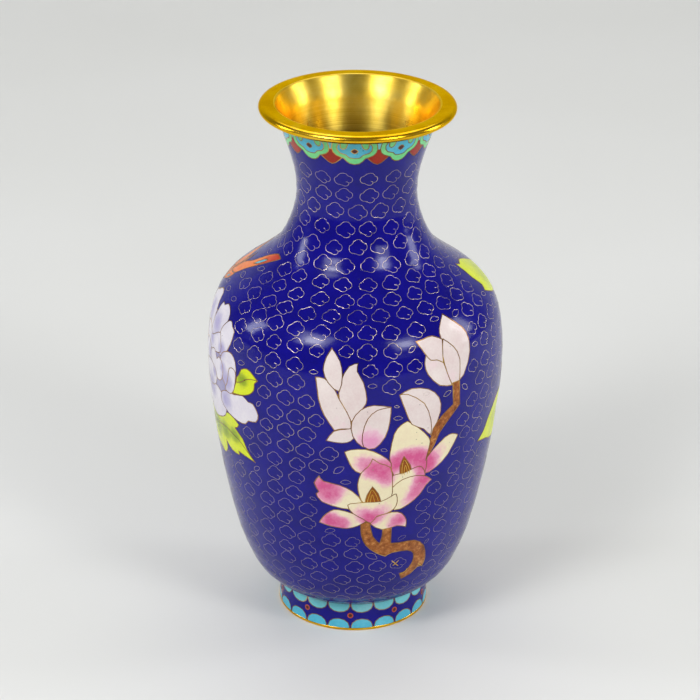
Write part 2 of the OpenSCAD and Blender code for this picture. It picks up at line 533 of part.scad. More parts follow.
// Half width and half height of the roll of the rim; a flat top runs from it in to the mouth
roll_w = 2.4;
roll_h = 1.8;
ROLL_MID = [rim_r - roll_w, overall_h - roll_h];
lip_rounding = 1;
LIP_MID = [mouth_r + lip_rounding, overall_h - lip_rounding];
// Slope of the funnel where it runs into the rounding, and the reach of the curve's handles
mouth_slope = 38;
tongue_handle = 1;
lip_handle = 1.3;
LIP = LIP_MID + polar(90 + mouth_slope, lip_rounding);
// How far the underside of the bead stands out from the enamel before the roll begins
throat_step = [1.2, 0.4];

// Soldered over the tongue; its inner face carries the funnel of the neck out to the mouth
module rim_bead()
    color(GILT)
        rotate_extrude()
            polygon(concat(
                [SKIN[LAST], COPPER_OUT[LAST], tongue_out],
                bezier(tongue_in, tongue_in + polar(flare_slope, tongue_handle),
                       LIP - polar(mouth_slope, lip_handle), LIP, 5),
                [LIP, LIP_MID + polar(90 + mouth_slope / 2, lip_rounding), LIP_MID + [0, lip_rounding]],
                [for (a = [90:-18:-90]) ROLL_MID + [roll_w * cos(a), roll_h * sin(a)]],
                [SKIN[LAST] + throat_step]));

module foot_ring()
    color(COPPER)
        rotate_extrude()
            polygon([[foot_low_r - foot_t, edge_h], [foot_low_r, edge_h], [foot_top_r, floor_z],
                     [foot_top_r - foot_t, floor_z]]);

edge_chamfer = 0.25;
module foot_edge_ring()
    color(GILT)
        rotate_extrude()
            polygon([[foot_low_r - foot_t, 0], [edge_r - edge_chamfer, 0], [edge_r, edge_chamfer],
                     [edge_r, edge_h - edge_chamfer], [edge_r - edge_chamfer, edge_h],
                     [foot_low_r - foot_t, edge_h]]);

// Blue counter-enamel on the underside of the floor, inside the foot
module base_enamel()
    color(COBALT)
        translate([0, 0, floor_z - enamel_t])
            cylinder(h = enamel_t, r = foot_top_r - foot_t - enamel_gap);

// ---------------------------------------------------------------- enamel and wires

// Cobalt ground over the whole body, with a pocket for each spray and for the collar
module ground_enamel()
    color(COBALT)
        difference() {
            enamel_wall();
            on_side(magnolia_phi) silhouette(MAGNOLIA);
            on_side(peony_phi) silhouette(PEONY);
            on_side(butterfly_phi) silhouette(BUTTERFLY);
            on_side(back_phi) silhouette(BACK);
            each_head() on_collar() silhouette([RUYI_HEAD]);
            each_head(head_pitch / 2) on_collar() silhouette(BETWEEN);
        }

module collar_green_enamel() color(GREEN) collar_cells([1, 2, 4]);
module collar_turquoise_enamel() color(TURQUOISE) collar_cells([3]);
module collar_dot_enamel() color(DARK_RED) collar_cells([0]);
module collar_red_enamel() color(RED) between_heads() seen(BETWEEN, 0);
module collar_corner_enamel() color(PALE_TURQUOISE) between_heads() seen(BETWEEN, 1);

module collar_head_wires()
    color(WIRE)
        each_head()
            intersection() {
                collar_piece();
                on_collar()
                    offset(delta = 0)
                        difference() {
                            silhouette([RUYI_HEAD]);
                            for (i = [0:len(COLLAR) - 1]) seen(COLLAR, i);
                        }
            }

module collar_panel_wires()
    color(WIRE)
        between_heads()
            offset(delta = 0)
                difference() {
                    silhouette(BETWEEN);
                    for (i = [0, 1]) seen(BETWEEN, i);
                }

module foot_ground_enamel()
    color(COBALT)
        difference() {
            rotate_extrude() polygon(FOOT_WALL);
            each_scallop() on_band() offset(delta = wire_w / 2) polygon(LOWER);
            each_scallop() on_band() offset(delta = wire_w / 2) polygon(UPPER);
            each_head() on_band() dot_outline(dot_wire_w / 2);
        }

module foot_upper_scallops()
    color(PALE_TURQUOISE) each_scallop() band_cell() offset(delta = -wire_w / 2) polygon(UPPER);
module foot_lower_scallops()
    color(TURQUOISE) each_scallop() band_cell() offset(delta = -wire_w / 2) polygon(LOWER);
module foot_dot_enamel() color(DARK_RED) each_head() band_cell() dot_outline(-dot_wire_w / 2);
module foot_dot_rings()
    color(COPPER)
        each_head()
            band_cell()
                offset(delta = 0)
                    difference() {
                        dot_outline(dot_wire_w / 2);
                        dot_outline(-dot_wire_w / 2);
                    }

module foot_wires()
    color(WIRE)
        each_scallop() {
            band_cell() wire_round(LOWER);
            band_cell() wire_round(UPPER);
        }

module magnolia_pink_petals() color(PINK) cells(magnolia_phi, MAGNOLIA, PINK_CELLS);
module magnolia_white_petals() color(WARM_WHITE) cells(magnolia_phi, MAGNOLIA, WHITE_CELLS);
module magnolia_stamens() color(STAMEN) cells(magnolia_phi, MAGNOLIA, STAMEN_CELLS);
module magnolia_branch() color(BROWN) cells(magnolia_phi, MAGNOLIA, BRANCH_CELLS);
module magnolia_wires() spray_wires(magnolia_phi, MAGNOLIA);

module peony_petals() color(LAVENDER) cells(peony_phi, PEONY, [0:petal_count - 1]);
module peony_shade_enamel() color(SHADE) cells(peony_phi, PEONY, [petal_count]);
module peony_leaves() color(LEAF) cells(peony_phi, PEONY, [petal_count + 1:petal_count + 4]);
module peony_wires() spray_wires(peony_phi, PEONY);

module butterfly_body() color(BROWN) cells(butterfly_phi, BUTTERFLY, [0]);
module butterfly_wing_spots() color(TURQUOISE) cells(butterfly_phi, BUTTERFLY, [1, 2, 3, 4]);
module butterfly_wings() color(ORANGE) cells(butterfly_phi, BUTTERFLY, [5, 6, 7, 8]);
module butterfly_wires() spray_wires(butterfly_phi, BUTTERFLY);

module back_peony_petals() color(LAVENDER) cells(back_phi, BACK, [0:petal_count - 1]);
module back_shade_enamel() color(SHADE) cells(back_phi, BACK, [petal_count]);
module back_leaves() color(LEAF) cells(back_phi, BACK, BACK_LEAVES);
module back_branch() color(BROWN) cells(back_phi, BACK, [len(BACK) - 1]);
module back_wires() spray_wires(back_phi, BACK);

// ---------------------------------------------------------------- drawing

belly_lower_shell();
belly_upper_shell();
neck_shell();
rim_bead();
foot_ring();
foot_edge_ring();
base_enamel();
ground_enamel();
collar_green_enamel();
collar_turquoise_enamel();
collar_dot_enamel();
collar_red_enamel();
collar_corner_enamel();
collar_head_wires();
collar_panel_wires();
foot_ground_enamel();
foot_upper_scallops();
foot_lower_scallops();
foot_dot_enamel();
foot_dot_rings();
foot_wires();
magnolia_pink_petals();
magnolia_white_petals();
magnolia_stamens();
magnolia_branch();
magnolia_wires();
peony_petals();
peony_shade_enamel();
peony_leaves();
peony_wires();
butterfly_wings();
butterfly_wing_spots();
butterfly_body();
butterfly_wires();
back_peony_petals();
back_shade_enamel();
back_leaves();
back_branch();
back_wires();
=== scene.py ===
"""Looks of the cloisonne vase: gilt copper, polished enamel and the wires between them.

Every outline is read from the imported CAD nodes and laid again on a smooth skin, so the
petals, scallops and collar stay where the CAD has them. The cloud scrolls of the cobalt
ground are made here. Lengths are metres, and MM turns millimetres into metres.
"""
import math
import random

import bpy
import numpy as np
from mathutils import Matrix, Vector
from mathutils.geometry import delaunay_2d_cdt


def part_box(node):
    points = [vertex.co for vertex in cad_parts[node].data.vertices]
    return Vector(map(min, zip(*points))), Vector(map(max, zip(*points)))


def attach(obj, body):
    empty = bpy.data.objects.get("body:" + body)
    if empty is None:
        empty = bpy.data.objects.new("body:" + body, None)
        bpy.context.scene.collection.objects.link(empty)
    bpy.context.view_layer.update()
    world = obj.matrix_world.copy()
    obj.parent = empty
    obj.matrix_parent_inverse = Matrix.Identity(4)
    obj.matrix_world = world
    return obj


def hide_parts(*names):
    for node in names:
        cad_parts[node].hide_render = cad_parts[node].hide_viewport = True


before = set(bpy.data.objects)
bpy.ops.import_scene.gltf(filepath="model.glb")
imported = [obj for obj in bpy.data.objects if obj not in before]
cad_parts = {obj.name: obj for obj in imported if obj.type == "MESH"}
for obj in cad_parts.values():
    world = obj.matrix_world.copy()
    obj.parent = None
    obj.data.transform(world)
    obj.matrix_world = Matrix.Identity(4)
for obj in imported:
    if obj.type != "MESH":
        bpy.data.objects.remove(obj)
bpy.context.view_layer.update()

MM = 0.001
TAU = 2 * math.pi
SEED = 7
random.seed(SEED)

# Reading the CAD
WELD = 2e-6                     # vertices that agree to this are one
RING_STEP = 2e-5                # rings are told apart by this much radius or height
RING_LEAST = 12                 # vertices that a ring round the axis has at least
SHEET_SLACK = 0.03 * MM         # how far a sheet's thickness may be off between two rings
SECTION_GAP = 0.5 * MM          # closest rings of one section
SKIN_STEPS = 3000               # points of a smooth section
SURFACE_BAND = 0.35 * MM        # how near the skin a cell's outer faces lie
SURFACE_FACING = 0.75           # how squarely they face out, as a cosine

# Outlines on the skin
SHORT_EDGE = 0.04 * MM          # edges shorter than this are dropped
LONG_EDGE = 1.1 * MM            # edges longer than this are divided
SHARP_TIP = math.radians(40)    # corners sharper than this are kept
CELL_LEAST = 2e-9               # smallest cell that is laid, in square metres
GRID_CLEAR = 0.45               # how far inner points keep from an outline, in grid steps
WALL_DOWN = 0.12 * MM           # how far a cell's wall goes down into the ground
# distances of the points inside a cell, then of the rows of a ground sheet
CELL_GRID, COLLAR_GRID, WIRE_GRID = 1.2 * MM, 1.5 * MM, 2.0 * MM
GROUND_ROWS, BAND_ROWS = 1.1 * MM, 1.5 * MM
# steps round the axis of the turned pieces
AROUND_BODY, AROUND_NECK, AROUND_FOOT = 360, 320, 240


# ---------------------------------------------------------------- reading the CAD

def welded(node):
    """Vertices of a CAD node without doubles, and its triangles by index."""
    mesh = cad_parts[node].data
    co = np.zeros(len(mesh.vertices) * 3)
    mesh.vertices.foreach_get("co", co)
    mesh.calc_loop_triangles()
    tris = np.zeros(len(mesh.loop_triangles) * 3, int)
    mesh.loop_triangles.foreach_get("vertices", tris)
    keys = np.round(co.reshape(-1, 3) / WELD).astype(np.int64)
    _, first, inverse = np.unique(keys, axis=0, return_index=True, return_inverse=True)
    tris = inverse.reshape(-1)[tris].reshape(-1, 3)
    whole = (tris[:, 0] != tris[:, 1]) & (tris[:, 1] != tris[:, 2]) & (tris[:, 0] != tris[:, 2])
    return co.reshape(-1, 3)[first], tris[whole]


def rings(node):
    """(radius, height) of each circle of vertices round the axis in a CAD node."""
    co, _ = welded(node)
    rz = np.stack([np.hypot(co[:, 0], co[:, 1]), co[:, 2]], 1)
    keys, counts = np.unique(np.round(rz / RING_STEP).astype(np.int64), axis=0, return_counts=True)
    found = keys[counts >= RING_LEAST] * RING_STEP
    return found[np.argsort(found[:, 1])]


class Spline:
    """Natural cubic spline through points at given stations."""

    def __init__(self, t, p):
        self.t, self.p = t, p
        n, h = len(t), np.diff(t)
        a = np.zeros((n, n))
        b = np.zeros((n, p.shape[1]))
        a[0, 0] = a[-1, -1] = 1
        for i in range(1, n - 1):
            a[i, i - 1:i + 2] = h[i - 1], 2 * (h[i - 1] + h[i]), h[i]
            b[i] = 6 * ((p[i + 1] - p[i]) / h[i] - (p[i] - p[i - 1]) / h[i - 1])
        self.m = np.linalg.solve(a, b)

    def __call__(self, t):
        i = np.clip(np.searchsorted(self.t, t) - 1, 0, len(self.t) - 2)
        h = self.t[i + 1] - self.t[i]
        u, v = (self.t[i + 1] - t)[:, None], (t - self.t[i])[:, None]
        h = h[:, None]
        return ((self.m[i] * u ** 3 + self.m[i + 1] * v ** 3) / (6 * h)
                + (self.p[i] / h - self.m[i] * h / 6) * u
                + (self.p[i + 1] / h - self.m[i + 1] * h / 6) * v)


class Skin:
    """A surface of revolution by its section: places are (azimuth, distance along the section)."""

    def __init__(self, section, smooth=True):
        steps = np.concatenate([[0], np.cumsum(np.hypot(*np.diff(section, axis=0).T))])
        fine = np.linspace(0, steps[-1], SKIN_STEPS)
        if smooth:
            line = Spline(steps, section)(fine)
        else:
            line = np.stack([np.interp(fine, steps, section[:, k]) for k in (0, 1)], 1)
        self.s = np.concatenate([[0], np.cumsum(np.hypot(*np.diff(line, axis=0).T))])
        self.line = line
        way = np.gradient(line, axis=0)
        way /= np.linalg.norm(way, axis=1)[:, None]
        self.out = np.stack([way[:, 1], -way[:, 0]], 1)
        self.length = self.s[-1]

    def radius(self, s):
        return np.interp(s, self.s, self.line[:, 0])

    def height(self, s):
        return np.interp(s, self.s, self.line[:, 1])

    def along(self, z):
        return np.interp(z, self.line[:, 1], self.s)

    def normal(self, azimuth, s):
        nr, nz = (np.interp(s, self.s, self.out[:, k]) for k in (0, 1))
        return np.stack([nr * np.sin(azimuth), -nr * np.cos(azimuth), nz], -1)

    def point(self, azimuth, s, lift=0.0):
        r, z = self.radius(s), self.height(s)
        place = np.stack([r * np.sin(azimuth), -r * np.cos(azimuth), z], -1)
        lift = np.asarray(lift, float)
        return place + (lift[..., None] if lift.ndim else lift) * self.normal(azimuth, s)


def faces_of_sheet(found, thickness):
    """The outer and the inner section of a sheet: rings that have a partner one thickness away."""
    outer, inner = [], []
    for p in found:
        partners = [q for q in found if abs(np.hypot(*(p - q)) - thickness) < SHEET_SLACK]
        if any(p[0] > q[0] for q in partners):
            outer.append(p)
        elif partners:
            inner.append(p)
    return thinned(outer), thinned(inner)


def thinned(points):
    """Points in order of height, without those that nearly repeat the one before."""
    kept = []
    for p in sorted(points, key=lambda q: q[1]):
        if not kept or np.hypot(*(p - kept[-1])) > SECTION_GAP:
            kept.append(p)
    return np.array(kept)


# ---------------------------------------------------------------- meshes

def new_object(name, verts, faces, normals=None):
    mesh = bpy.data.meshes.new(name)
    mesh.from_pydata([tuple(v) for v in verts], [], [tuple(int(i) for i in f) for f in faces])
    mesh.polygons.foreach_set("use_smooth", [True] * len(mesh.polygons))
    if normals is not None:
        mesh.normals_split_custom_set_from_vertices([tuple(n) for n in normals])
    piece = bpy.data.objects.new(name, mesh)
    bpy.context.scene.collection.objects.link(piece)
    return piece


def add_values(piece, name, values):
    layer = piece.data.attributes.new(name, "FLOAT", "POINT")
    layer.data.foreach_set("value", np.asarray(values, np.float32))


def finish_piece(piece, material, slot, *nodes):
    piece.data.materials.append(material)
    if nodes:
        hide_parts(*nodes)
    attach(piece, "root")
    return piece


def lathe(name, section, around, closed=False):
    """A turned piece from its section of (radius, height) points."""
    rows = len(section)
    turn = np.arange(around) * TAU / around
    verts = np.concatenate([
        np.stack([r * np.sin(turn), -r * np.cos(turn), np.full(around, z)], 1) for r, z in section])
    faces = []
    for i in range(rows if closed else rows - 1):
        j = (i + 1) % rows
        for k in range(around):
            m = (k + 1) % around
            faces.append((i * around + k, i * around + m, j * around + m, j * around + k))
    return new_object(name, verts, faces)


def arc(centre, radius, start, end, steps):
    return [(centre[0] + radius * math.cos(math.radians(a)), centre[1] + radius * math.sin(math.radians(a)))
            for a in np.linspace(start, end, steps)]


def bezier(a, b, c, d, steps):
    t = np.linspace(0, 1, steps)[:, None]
    a, b, c, d = (np.array(p) for p in (a, b, c, d))
    u = 1 - t
    return [tuple(p) for p in u ** 3 * a + 3 * u ** 2 * t * b + 3 * u * t * t * c + t ** 3 * d]


# ---------------------------------------------------------------- outlines on the skin

def boundary_loops(node, skin):
    """Closed outlines of a node's cells where they meet the skin, as arrays of (azimuth, s)."""
    co, tris = welded(node)
    r = np.hypot(co[:, 0], co[:, 1])
    azimuth = np.arctan2(co[:, 0], -co[:, 1])
    s = skin.along(co[:, 2])
    normal = skin.normal(azimuth, s)
    depth = (r - skin.radius(s)) * np.hypot(normal[:, 0], normal[:, 1])
    a, b, c = (co[tris[:, k]] for k in range(3))
    facing = np.cross(b - a, c - a)
    facing /= np.maximum(np.linalg.norm(facing, axis=1), 1e-15)[:, None]
    outward = np.abs((facing * normal[tris].mean(1)).sum(1)) > SURFACE_FACING
    shallow = np.abs(depth[tris]).max(1) < SURFACE_BAND
    edges = {}
    for t in tris[outward & shallow]:
        for k in range(3):
            e = (int(t[k]), int(t[(k + 1) % 3]))
            back = (e[1], e[0])
            if back in edges:
                del edges[back]
            else:
                edges[e] = True
    follow = {}
    for e0, e1 in edges:
        follow.setdefault(e0, []).append(e1)
    loops = []
    while follow:
        start = next(iter(follow))
        loop, at = [start], follow[start].pop()
        if not follow[start]:
            del follow[start]
        while at != start and at in follow:
            loop.append(at)
            onward = follow[at].pop()
            if not follow[at]:
                del follow[at]
            at = onward
        if len(loop) > 2:
            loops.append(np.stack([azimuth[loop], s[loop]], 1))
    return loops


def unwrapped(loop):
    """The loop with its azimuths made continuous across the back seam."""
    turn = np.unwrap(loop[:, 0])
    return np.stack([turn, loop[:, 1]], 1)


def split_long(loop, scale):
    """The loop with its long edges divided, so that it follows a curved skin."""
    points = []
    for a, b in zip(loop, np.roll(loop, -1, 0)):
        parts = max(1, math.ceil(float(np.hypot(*((b - a) * scale))) / LONG_EDGE))
        points += [a + (b - a) * k / parts for k in range(parts)]
    return np.array(points)


def rounded(loop, scale):
    """Corners cut off a flat loop, but for its sharp tips. Very short edges are dropped first."""
    flat = loop * scale
    keep = np.hypot(*(flat - np.roll(flat, 1, 0)).T) > SHORT_EDGE
    loop, flat = loop[keep], flat[keep]
    v0, v1 = flat - np.roll(flat, 1, 0), np.roll(flat, -1, 0) - flat
    turn = np.arctan2(v0[:, 0] * v1[:, 1] - v0[:, 1] * v1[:, 0], (v0 * v1).sum(1))
    points = []
    for i in range(len(loop)):
        a, b, c = loop[i - 1], loop[i], loop[(i + 1) % len(loop)]
        if abs(turn[i]) > SHARP_TIP:
            points.append(b)
        else:
            points += [b * 0.75 + a * 0.25, b * 0.75 + c * 0.25]
    return split_long(np.array(points), scale)


def inside(points, loops):
    """Which flat points lie inside the loops, by counting crossings."""
    odd = np.zeros(len(points), bool)
    for loop in loops:
        x0, y0 = loop[:, 0], loop[:, 1]
        x1, y1 = np.roll(x0, -1), np.roll(y0, -1)
        px, py = points[:, :1], points[:, 1:]
        crosses = (y0 > py) != (y1 > py)
        with np.errstate(divide="ignore", invalid="ignore"):
            at = x0 + (py - y0) / (y1 - y0) * (x1 - x0)
        odd ^= (crosses & (px < at)).sum(1) % 2 == 1
    return odd


def group_loops(loops, scale):
    """Outer loops with the holes that lie in them."""
    areas = []
    for loop in loops:
        x, y = (loop * scale).T
        areas.append(0.5 * abs(np.sum(x * np.roll(y, -1) - y * np.roll(x, -1))))
    order = sorted(range(len(loops)), key=lambda i: -areas[i])
    groups = []
    for i in order:
        if areas[i] < CELL_LEAST:
            continue
        depth = sum(bool(inside(loops[i][:1], [loops[j]])[0]) for j in order if areas[j] > areas[i])
        if depth % 2 == 0:
            groups.append([loops[i]])
            continue
        holders = [g for g in groups if inside(loops[i][:1], [g[0]])[0]]
        if holders:
            holders[-1].append(loops[i])
    return groups


def filled(loops, scale, spacing):
    """Triangles that fill flat loops, with a grid of points inside so that they follow a curved skin."""
    verts, edges = [], []
    for loop in loops:
        first = len(verts)
        verts += [tuple(p) for p in loop * scale]
        edges += [(first + k, first + (k + 1) % len(loop)) for k in range(len(loop))]
    rim = np.array(verts)
    low, high = rim.min(0), rim.max(0)
    if min(high - low) > spacing:
        xs = np.arange(low[0] + spacing / 2, high[0], spacing)
        ys = np.arange(low[1] + spacing / 2, high[1], spacing)
        grid = np.stack(np.meshgrid(xs, ys), -1).reshape(-1, 2)
        grid = grid[inside(grid, [loop * scale for loop in loops])]
        if len(grid):
            gap = np.min(np.linalg.norm(grid[:, None] - rim[None], axis=2), 1)
            verts += [tuple(p) for p in grid[gap > GRID_CLEAR * spacing]]
    out, _, faces, _, _, _ = delaunay_2d_cdt([Vector(v) for v in verts], edges, [], 0, 1e-8)
    points = np.array([tuple(v) for v in out])
    faces = np.array([f for f in faces if len(f) == 3])
    middle = points[faces].mean(1)
    keep = inside(middle, [loop * scale for loop in loops])
    return points / scale, faces[keep]


def inlay(node, skin, lift, spacing):
    """The cells of one CAD node laid on the skin, each closed by a short wall down into the ground."""
    verts, normals, faces, tints = [], [], [], []
    loops = [unwrapped(loop) for loop in boundary_loops(node, skin)]
    chart = np.array([float(np.mean([skin.radius(l[:, 1]).mean() for l in loops])), 1.0])
    loops = [rounded(l, chart) for l in loops]
    count = 0
    for group in group_loops(loops, chart):
        points, tris = filled(group, chart, spacing)
        if not len(tris):
            continue
        tint = random.random()
        azimuth, s = points[:, 0], points[:, 1]
        base = count
        verts.append(skin.point(azimuth, s, lift))
        normals.append(skin.normal(azimuth, s))
        flat = points * chart
        a, b, c = (flat[tris[:, k]] for k in range(3))
        area = (b - a)[:, 0] * (c - a)[:, 1] - (b - a)[:, 1] * (c - a)[:, 0]
        tris = np.where((area > 0)[:, None], tris, tris[:, ::-1])
        faces.append(tris + base)
        tints.append(np.full(len(points), tint))
        count += len(points)
        # the wall: every edge used once goes down
        used = {}
        for t in tris:
            for k in range(3):
                e = (int(t[k]), int(t[(k + 1) % 3]))
                if (e[1], e[0]) in used:
                    del used[(e[1], e[0])]
                else:
                    used[e] = True
        rim = sorted({i for e in used for i in e})
        place = {i: k for k, i in enumerate(rim)}
        ra, rs = azimuth[rim], s[rim]
        verts += [skin.point(ra, rs, lift), skin.point(ra, rs, -WALL_DOWN)]
        normals += [skin.normal(ra, rs)] * 2
        tints.append(np.full(2 * len(rim), tint))
        top, low = count, count + len(rim)
        faces_down = [(top + place[e1], top + place[e0], low + place[e0]) for e0, e1 in used]
        faces_down += [(top + place[e1], low + place[e0], low + place[e1]) for e0, e1 in used]
        if faces_down:
            faces.append(np.array(faces_down))
        count += 2 * len(rim)
    piece = new_object(node + "_look", np.concatenate(verts), np.concatenate(faces), np.concatenate(normals))
    add_values(piece, "tint", np.concatenate(tints))
    return piece, loops


# ---------------------------------------------------------------- materials

def new_material(name):
    """An empty node material with a Principled shader; gives it, its nodes and a wiring helper."""
    material = bpy.data.materials.new(name)
    material.use_nodes = True
    tree = material.node_tree
    shader = tree.nodes["Principled BSDF"]

    def node(kind, links=(), **values):
        made = tree.nodes.new(kind)
        for key, value in values.items():
            if key in made.inputs:
                made.inputs[key].default_value = value
            else:
                setattr(made, key, value)
        for socket, source in links:
            tree.links.new(source, made.inputs[socket])
        return made

    return material, tree, shader, node


def ramp(node, source, *stops):
    made = node("ShaderNodeValToRGB", [("Fac", source)])
    elements = made.color_ramp.elements
    while len(elements) < len(stops):
        elements.new(0.5)
    for element, (place, colour) in zip(elements, stops):
        element.position = place
        element.color = (*colour, 1)
    return made.outputs["Color"]


def level(node, source, low, high, start=0.0, end=1.0):
    made = node("ShaderNodeMapRange", [("Value", source)])
    for key, value in (("From Min", low), ("From Max", high), ("To Min", start), ("To Max", end)):
        made.inputs[key].default_value = value
    return made.outputs["Result"]


def mixed(node, fac, a, b):
    made = node("ShaderNodeMix", data_type="RGBA")
    for index, value in ((0, fac), (6, a), (7, b)):
        if isinstance(value, bpy.types.NodeSocket):
            made.id_data.links.new(value, made.inputs[index])
        else:
            made.inputs[index].default_value = value if index == 0 else (*value, 1)
    return made.outputs[2]


def srgb(*rgb):
    return tuple((c / 255 / 12.92) if c <= 10.3 else ((c / 255 + 0.055) / 1.055) ** 2.4 for c in rgb)


def enamel(name, body, deep, pale, tint=0.35, rough=0.16, grain=260, pits=True, blush=None, shade=None):
    """Fired glass: a body colour clouded darker and paler, pinholes from polishing, a wavy gloss."""
    material, tree, shader, node = new_material(name)
    place = node("ShaderNodeTexCoord").outputs["Object"]
    cloud = node("ShaderNodeTexNoise", [("Vector", place)], Scale=90, Detail=5, Roughness=0.62)
    fine = node("ShaderNodeTexNoise", [("Vector", place)], Scale=grain * 4, Detail=4, Roughness=0.7)
    colour = ramp(node, cloud.outputs["Fac"], (0.25, deep), (0.5, body), (0.78, pale))
    speck = ramp(node, fine.outputs["Fac"], (0.3, deep), (0.52, body), (0.75, pale))
    colour = mixed(node, tint, colour, speck)
    for value, target in ((blush, "blush"), (shade, "shade")):
        if value:
            mask = node("ShaderNodeAttribute", attribute_name=target).outputs["Fac"]
            ragged = node("ShaderNodeTexNoise", [("Vector", place)], Scale=480, Detail=5, Roughness=0.7)
            shift = level(node, ragged.outputs["Fac"], 0.3, 0.7, -0.15, 0.15)
            total = node("ShaderNodeMath", operation="ADD")
            tree.links.new(mask, total.inputs[0])
            tree.links.new(shift, total.inputs[1])
            colour = mixed(node, level(node, total.outputs[0], 0.1, 0.55), colour, value[0])
            colour = mixed(node, level(node, total.outputs[0], 0.4, 1.0), colour, value[1])
    height = node("ShaderNodeTexNoise", [("Vector", place)], Scale=38, Detail=2, Roughness=0.4).outputs["Fac"]
    bump = node("ShaderNodeBump", [("Height", height)], Strength=0.5, Distance=0.00022)
    if pits:
        holes = node("ShaderNodeTexVoronoi", [("Vector", place)], Scale=330, Randomness=1.0)
        hole = level(node, holes.outputs["Distance"], 0.05, 0.12, 1, 0)
        rare = node("ShaderNodeTexNoise", [("Vector", place)], Scale=140, Detail=2)
        rare = level(node, rare.outputs["Fac"], 0.52, 0.6)
        both = node("ShaderNodeMath", operation="MULTIPLY")
        tree.links.new(hole, both.inputs[0])
        tree.links.new(rare, both.inputs[1])
        colour = mixed(node, both.outputs[0], colour, tuple(c * 0.35 for c in body))
        bump = node("ShaderNodeBump", [("Height", both.outputs[0]), ("Normal", bump.outputs["Normal"])],
                    Strength=0.6, Distance=0.0001, invert=True)
    wear = node("ShaderNodeTexNoise", [("Vector", place)], Scale=60, Detail=6, Roughness=0.7)
    worn = level(node, wear.outputs["Fac"], 0.3, 0.75, rough * 0.75, rough * 1.5)
    tree.links.new(worn, shader.inputs["Roughness"])
    tree.links.new(colour, shader.inputs["Base Color"])
    tree.links.new(bump.outputs["Normal"], shader.inputs["Normal"])
    shader.inputs["IOR"].default_value = 1.5
    shader.inputs["Specular IOR Level"].default_value = 0.27
    return material


def metal(name, body, deep, bright, rough, turned=0.0, brushed=0.0, tarnish=0.0, edge=(1, 1, 1),
          painted_depth_shade=None):
    """Gilt or bare copper: cloudy colour, turning marks, tarnish in spots, and painted shade that darkens the
    colour to near black below a given height.
    """
    material, tree, shader, node = new_material(name)
    place = node("ShaderNodeTexCoord").outputs["Object"]
    cloud = node("ShaderNodeTexNoise", [("Vector", place)], Scale=70, Detail=6, Roughness=0.65)
    colour = ramp(node, cloud.outputs["Fac"], (0.28, deep), (0.5, body), (0.75, bright))
    if tarnish:
        spots = node("ShaderNodeTexNoise", [("Vector", place)], Scale=210, Detail=7, Roughness=0.75)
        mask = level(node, spots.outputs["Fac"], 0.60, 0.70, 0, tarnish)
        colour = mixed(node, mask, colour, tuple(c * 0.22 for c in body))
    if painted_depth_shade:
        # painted shade: the colour fades to nearly black below the given heights, standing in for the shade
        # deep down the throat
        height = node("ShaderNodeSeparateXYZ", [("Vector", place)]).outputs["Z"]
        colour = mixed(node, level(node, height, *painted_depth_shade, 0.97, 0), colour, tuple(c * 0.06 for c in body))
    fine = node("ShaderNodeTexNoise", [("Vector", place)], Scale=1500, Detail=3)
    bump = node("ShaderNodeBump", [("Height", fine.outputs["Fac"])], Strength=0.12, Distance=0.00003)
    if turned:
        squeeze = node("ShaderNodeMapping", [("Vector", place)])
        squeeze.inputs["Scale"].default_value = (18, 18, 2600)
        lines = node("ShaderNodeTexNoise", [("Vector", squeeze.outputs["Vector"])],
                     Scale=1, Detail=5, Roughness=0.7)
        bump = node("ShaderNodeBump", [("Height", lines.outputs["Fac"]), ("Normal", bump.outputs["Normal"])],
                    Strength=turned, Distance=0.00006)
        streaks = level(node, lines.outputs["Fac"], 0.3, 0.7, 0.0, 0.35)
        colour = mixed(node, streaks, colour, bright)
    wear = node("ShaderNodeTexNoise", [("Vector", place)], Scale=45, Detail=7, Roughness=0.7)
    worn = level(node, wear.outputs["Fac"], 0.3, 0.75, rough * 0.7, rough * 1.5)
    tree.links.new(worn, shader.inputs["Roughness"])
    tree.links.new(colour, shader.inputs["Base Color"])
    tree.links.new(bump.outputs["Normal"], shader.inputs["Normal"])
    shader.inputs["Metallic"].default_value = 1.0
    shader.inputs["Specular Tint"].default_value = (*edge, 1)
    if brushed:
        shader.inputs["Anisotropic"].default_value = brushed
        shader.inputs["Anisotropic Rotation"].default_value = 0.25
        tangent = node("ShaderNodeTangent", direction_type="RADIAL", axis="Z")
        tree.links.new(tangent.outputs["Tangent"], shader.inputs["Tangent"])
    return material


